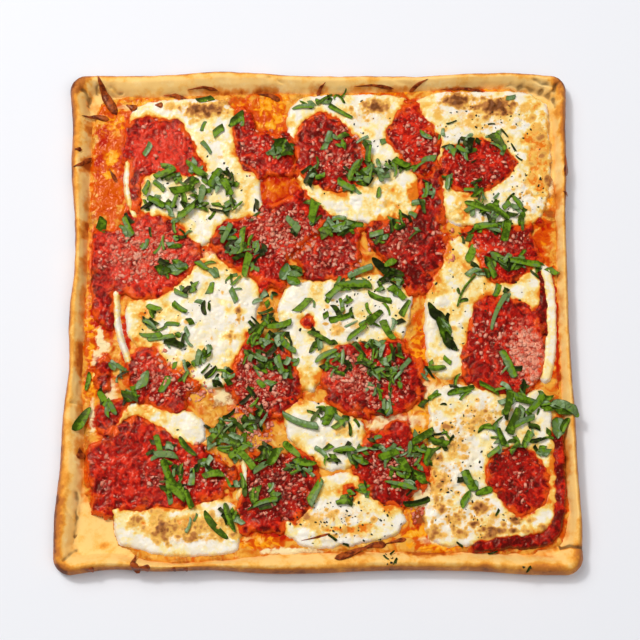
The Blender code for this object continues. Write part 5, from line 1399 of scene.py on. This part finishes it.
def lay_strips(name, rows, layers, power, stations, across, thickness, crumple):
    """Thin leaves or shreds as one mesh, each lying on what is under it.

    rows hold middle x, middle y, turn, length, width, tone, bend, curl, wave, taper, slant, roll
    and shape. Along a strip the parameter s runs from -1 to 1 and t runs across it. Its half width
    is (1 - |s|^shape)^power times one plus taper times s, its ends are cut at the slant, its middle
    line bends by s^2, and its height is the ground line plus curl times t^2, roll times t and wave
    times the sine of s. A crumpled leaf has ribs that run out slantwise from the middle line, and
    noise bends it. The tone leans lighter to one side of the middle line and darker to the other,
    painted light and shade as on a folded leaf.
    """
    rows = np.asarray(rows, float)
    columns = rows.T[:, :, None, None]
    mx, my, turn, length, width, tone, bend, curl, wave, taper, slant, roll, shape = columns
    s = np.sin(np.linspace(-math.pi / 2, math.pi / 2, stations))[None, :, None]
    t = np.linspace(-1, 1, across)[None, None, :]
    half = width / 2 * np.maximum(1 - np.abs(s)**shape, 0.0)**power * (1 + taper * s)
    along = s * length / 2 + slant * t * half * smooth(0.4, 1.0, np.abs(s))
    offset = t * np.maximum(half, NARROWEST) + bend * length * (s**2 - 0.4)
    x = mx + np.cos(turn) * along - np.sin(turn) * offset
    y = my + np.sin(turn) * along + np.cos(turn) * offset
    x = x + 6 * crumple * noise(x, y, 7, 83)
    y = y + 6 * crumple * noise(x, y, 7, 84)
    line = ground_line(x, y, layers) + pile_up(x, y, layers)
    waving = 0.6 * wave * (1 + np.sin(s * 2.6 + turn * 3))
    ribs = np.abs(t) * np.sin(15 * s - 4 * np.abs(t)) - 0.9 * np.exp(-(t / 0.12)**2)
    z = line[:, :, None] + STRIP_GAP + (curl * t**2 + roll * t) * width / 2 + waving
    z = z + crumple * (ribs + 3 * noise(x, y, 5, 85))
    z = np.maximum(z, layers.top.at(x, y) + STRIP_CLEARANCE) + thickness
    over = np.maximum(z - PRESSED_FROM, 0)
    z = np.minimum(z, PRESSED_FROM) + PRESSED_RISE * (1 - np.exp(-over / PRESSED_RISE))
    upper = np.stack([x, y, z], axis=-1).reshape(len(rows), -1, 3)
    points = np.concatenate([upper, upper - [0, 0, thickness]], axis=1)
    starts = np.arange(len(rows)) * points.shape[1]
    faces = strip_faces(stations, across)[None] + starts[:, None, None]
    # Painted light and shade: one half of the strip lighter, the other darker, as on a fold.
    painted_fold_light = 0.14 * np.sign(np.sin(17 * turn)) * (np.sin(31 * turn) > -0.2)
    at_points = {
        "tone": tone + painted_fold_light * np.sign(t + 0.01) + 0.08 * np.sin(5 * s + 9 * turn),
        "edge": np.maximum(np.abs(t), np.abs(s)**3) + 0 * mx,
        "vein_and_crease_shade": 1.4 * along + 1.6 * np.abs(t) * half + 9 * turn,
    }
    values = {label: np.tile(value.reshape(len(rows), -1), (1, 2))
              for label, value in at_points.items()}
    piece = add_mesh(name, points.reshape(-1, 3), faces.reshape(-1, 4).tolist(), values)
    piece.data.set_sharp_from_angle(angle=math.radians(SHARP_FROM))
    piece.data.materials.append(BASIL)
    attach(piece, "root")
    return piece


def in_disc(draw, middle, reach, count):
    """Random places in an ellipse, denser towards its middle."""
    radius = draw.uniform(0, 1, count)**0.6
    angle = draw.uniform(0, 2 * math.pi, count)
    away = np.column_stack([radius * np.cos(angle), radius * np.sin(angle)])
    return shifted(middle) + away * reach


def drift_of_shreds(draw, middle, reach, count):
    """Rows of one drift of shreds, drawn one property after the other. About three in ten are dark
    and four in ten pale sage, and about one in five has rounded ends."""
    places = in_disc(draw, middle, reach, count)
    turn = draw.uniform(0, math.pi, count)
    length = draw.uniform(*SHRED_LENGTH, count)
    width = draw.uniform(*SHRED_WIDTH, count)
    kind = draw.uniform(0, 1, count)
    tone = np.where(kind < 0.3, draw.uniform(-0.12, 0.2, count), draw.uniform(0.25, 0.6, count))
    tone = np.where(kind > 0.62, draw.uniform(0.68, 1.1, count), tone)
    bend = draw.uniform(-0.14, 0.14, count)
    curl = draw.uniform(-0.1, 0.16, count)
    wave = draw.uniform(0.0, 0.7, count)
    taper = draw.uniform(-0.35, 0.35, count)
    slant = draw.uniform(-0.9, 0.9, count)
    roll = draw.uniform(-0.35, 0.35, count)
    shape = np.where(draw.uniform(0, 1, count) < 0.78, SQUARE_END, ROUND_END)
    return np.column_stack([places, turn, length, width, tone, bend, curl, wave, taper, slant, roll,
                            shape])


def listed_shred(draw, middle, turn, length, width, tone):
    """Row of one distinct shred, with drawn bend, curl, wave, taper, slant, roll and ends."""
    x, y = shifted(middle)
    return (x, y, math.radians(turn), length, LISTED_NARROWING * width, tone,
            draw.uniform(-0.08, 0.08), draw.uniform(-0.1, 0.25), draw.uniform(0.1, 0.5),
            draw.uniform(-0.3, 0.3), draw.uniform(-0.8, 0.8), draw.uniform(-0.4, 0.4),
            SQUARE_END if draw.uniform() < 0.75 else LISTED_ROUND_END)


def make_shreds(layers):
    """All the shreds of basil: the drifts, then the distinct ones over them."""
    draw = np.random.default_rng(SHRED_SEED)
    rows = [drift_of_shreds(draw, middle, reach, max(2, round(many * SHRED_SHARE)))
            for middle, reach, many in DRIFTS]
    rows.append(np.array([listed_shred(draw, *shred) for shred in SHREDS]))
    lay_strips("basil_shreds", np.concatenate(rows), layers, **SHRED_MAKE)


def make_leaf(node, layers):
    """One large leaf, as waved blades over each other, in place of its node. Every second blade
    bends and rolls to the other side."""
    rows = []
    for number, (middle, length, width, turn, wave, tone) in enumerate(LEAVES[node]):
        x, y = shifted(middle)
        side = 1 - 2 * (number % 2)
        rows.append((x, y, math.radians(turn), length, width, tone, 0.06 * side, 0.25, wave * 0.8,
                     0.15 * side, 0.0, 0.2 * side, LEAF_END))
    piece = lay_strips(node + "_waved", rows, layers, **LEAF_MAKE)
    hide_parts(node)


def icosahedron():
    """Points one unit from the middle, at the corners of three crossed golden rectangles, and the
    twenty triangles between neighbours, facing outwards."""
    golden = (1 + math.sqrt(5)) / 2
    ball = np.array([(-1, golden, 0), (1, golden, 0), (-1, -golden, 0), (1, -golden, 0),
                     (0, -1, golden), (0, 1, golden), (0, -1, -golden), (0, 1, -golden),
                     (golden, 0, -1), (golden, 0, 1), (-golden, 0, -1), (-golden, 0, 1)])
    sides = np.array([(0, 11, 5), (0, 5, 1), (0, 1, 7), (0, 7, 10), (0, 10, 11), (1, 5, 9),
                      (5, 11, 4), (11, 10, 2), (10, 7, 6), (7, 1, 8), (3, 9, 4), (3, 4, 2),
                      (3, 2, 6), (3, 6, 8), (3, 8, 9), (4, 9, 5), (2, 4, 11), (6, 2, 10),
                      (8, 6, 7), (9, 8, 1)])
    return ball / np.linalg.norm(ball[0]), sides


def make_grains(name, drifts, size, seed, layers, paint):
    """Small rough grains as one mesh: icosahedra, stretched, turned and jittered, half sunk. Most
    are near the smaller size."""
    draw = np.random.default_rng(seed)
    places = np.concatenate([in_disc(draw, middle, reach, round(GRAIN_SHARE * many))
                             for middle, reach, many in drifts])
    count = len(places)
    ball, sides = icosahedron()
    stretch = (size[0] + (size[1] - size[0]) * draw.uniform(0, 1, (count, 1, 1))**1.6) / 2
    stretch = stretch * draw.uniform(0.7, 1.0, (count, 1, 3)) * GRAIN_PROPORTIONS
    shape = ball[None] * stretch * draw.uniform(0.65, 1.25, (count, len(ball), 1))
    turn = draw.uniform(0, 2 * math.pi, (count, 1))
    x = shape[..., 0] * np.cos(turn) - shape[..., 1] * np.sin(turn) + places[:, :1]
    y = shape[..., 0] * np.sin(turn) + shape[..., 1] * np.cos(turn) + places[:, 1:]
    ground = layers.top.at(places[:, 0], places[:, 1])[:, None]
    z = shape[..., 2] + ground + 0.45 * stretch[:, :, 2]
    faces = sides[None] + (np.arange(count) * len(ball))[:, None, None]
    points = np.stack([x, y, z], axis=-1).reshape(-1, 3)
    piece = add_mesh(name, points, faces.reshape(-1, 3).tolist())
    piece.data.materials.append(paint)
    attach(piece, "root")


def splash(path, width, layers):
    """Rings of points of one flat bead along its path, s along it from 0 to 1 and a turn round it.

    Its half width grows by a smooth step of s and both its ends are rounded by a square root. Each
    point lies on the ground under it, raised by the sine of the turn.
    """
    s = np.linspace(0, 1, DRIP_STATIONS)
    turn = np.arange(DRIP_AROUND) * 2 * math.pi / DRIP_AROUND
    path = shifted(path)
    known = np.linspace(0, 1, len(path))
    x, y = np.interp(s, known, path[:, 0]), np.interp(s, known, path[:, 1])
    run = np.stack([np.gradient(x), np.gradient(y)], axis=-1)
    run /= np.linalg.norm(run, axis=1, keepdims=True)
    x = x + (s - 0.5) * run[:, 0] * width
    y = y + (s - 0.5) * run[:, 1] * width
    grown = DRIP_START + (1 - DRIP_START) * smooth(0.0, DRIP_FULL, s)
    half = width / 2 * grown * (1 + DRIP_WANDER * noise(x, y, 4, 81))
    tip = np.maximum((s - DRIP_TIP) / (1 - DRIP_TIP), 0)
    tail = np.maximum((DRIP_TAIL - s) / DRIP_TAIL, 0)
    half = half * np.sqrt(np.maximum(1 - tip**2, 0.002))
    half = half * np.sqrt(np.maximum(1 - tail**2, 0.01))
    half = half[:, None]
    px = x[:, None] - run[:, 1:] * half * np.cos(turn)
    py = y[:, None] + run[:, :1] * half * np.cos(turn)
    line = layers.top.at(x, y)[:, None]
    ground = np.clip(layers.top.at(px, py), line - DRIP_SAG * half, line + half)
    steady, swelling = DRIP_HEIGHT
    pz = ground + (steady + swelling * half) * np.sin(turn) + steady
    return np.stack([px, py, pz], axis=-1).reshape(-1, 3)


def make_drips(layers):
    """Browned splashes as one mesh, each a closed tube of rings."""
    points, faces = [], []
    last_ring = (DRIP_STATIONS - 1) * DRIP_AROUND
    for number, (path, width) in enumerate(DRIPS):
        start = number * DRIP_STATIONS * DRIP_AROUND
        points.append(splash(path, width, layers))
        tube = grid_faces(DRIP_STATIONS, DRIP_AROUND, start, closed=True)
        faces += [face[::-1] for face in tube]
        faces.append([start + step for step in range(DRIP_AROUND)])
        faces.append([start + last_ring + step for step in reversed(range(DRIP_AROUND))])
    piece = add_mesh("browned_splashes", np.concatenate(points), faces)
    piece.data.materials.append(SPLASH)
    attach(piece, "root")


def make_stage():
    """A plain pale floor and soft studio light from the upper left."""
    bpy.ops.mesh.primitive_plane_add(size=FLOOR_SIZE)
    floor = bpy.context.object
    floor.name = "studio_floor"
    floor.data.materials.append(Paint("pale_floor").finish(colour(237, 240, 248), 0.8))
    world = bpy.data.worlds.new("studio")
    world.use_nodes = True
    sky = world.node_tree.nodes["Background"]
    sky.inputs["Color"].default_value = colour(244, 246, 252)
    sky.inputs["Strength"].default_value = SKY_STRENGTH
    bpy.context.scene.world = world
    for name, (place, size, power, mirrored) in LIGHTS.items():
        light = bpy.data.lights.new(name, "AREA")
        light.size = size
        light.energy = power
        light.color = LIGHT_TINT
        lamp = bpy.data.objects.new(name, light)
        lamp.location = place
        lamp.visible_glossy = mirrored
        lamp.rotation_euler = (-Vector(place)).to_track_quat("-Z", "Y").to_euler()
        bpy.context.scene.collection.objects.link(lamp)


def make_camera():
    """The photograph's view: from the near side, high above, aimed at the pie's middle."""
    elevation = math.radians(VIEW_ELEVATION)
    back = Vector((0, -math.cos(elevation), math.sin(elevation)))
    data = bpy.data.cameras.new("photo_view")
    data.lens = LENS
    data.sensor_width = SENSOR_WIDTH
    camera = bpy.data.objects.new("photo_view", data)
    camera.location = Vector(VIEW_TARGET) + VIEW_DISTANCE * back
    camera.rotation_euler = (-back).to_track_quat("-Z", "Y").to_euler()
    bpy.context.scene.collection.objects.link(camera)
    bpy.context.scene.camera = camera


MOZZARELLA = mozzarella_paint()
SAUCE = sauce_paint()
BASIL = basil_paint()
GRATED = plain_paint("grated_cheese", colour(240, 172, 146), colour(206, 96, 72), 5.0, 0.3,
                     Subsurface_Weight=0.2, Subsurface_Scale=0.001)
HERB = plain_paint("dried_herb", colour(44, 52, 24), colour(24, 26, 16), 2.0, 0.6)
SPLASH = plain_paint("browned_splash", colour(172, 80, 30), colour(92, 32, 14), 4.0, 0.3,
                     Specular_IOR_Level=0.3, Specular_Tint=WARM)

RIM = rim_surface()
LAYERS = Layers(RIM)
make_crust(RIM)
make_base(LAYERS)
for sheet_node in SHEET_NODES:
    LAYERS.add_sheet(sheet_node)
for leaf_node in LEAVES:
    make_leaf(leaf_node, LAYERS)
make_shreds(LAYERS)
make_grains("grated_cheese", GRAIN_DRIFTS, GRAIN_SIZE, GRAIN_SEED, LAYERS, GRATED)
make_grains("herb_specks", SPECK_DRIFTS, SPECK_SIZE, SPECK_SEED, LAYERS, HERB)
make_drips(LAYERS)
make_stage()
make_camera()
bpy.context.scene.view_settings.view_transform = "Standard"
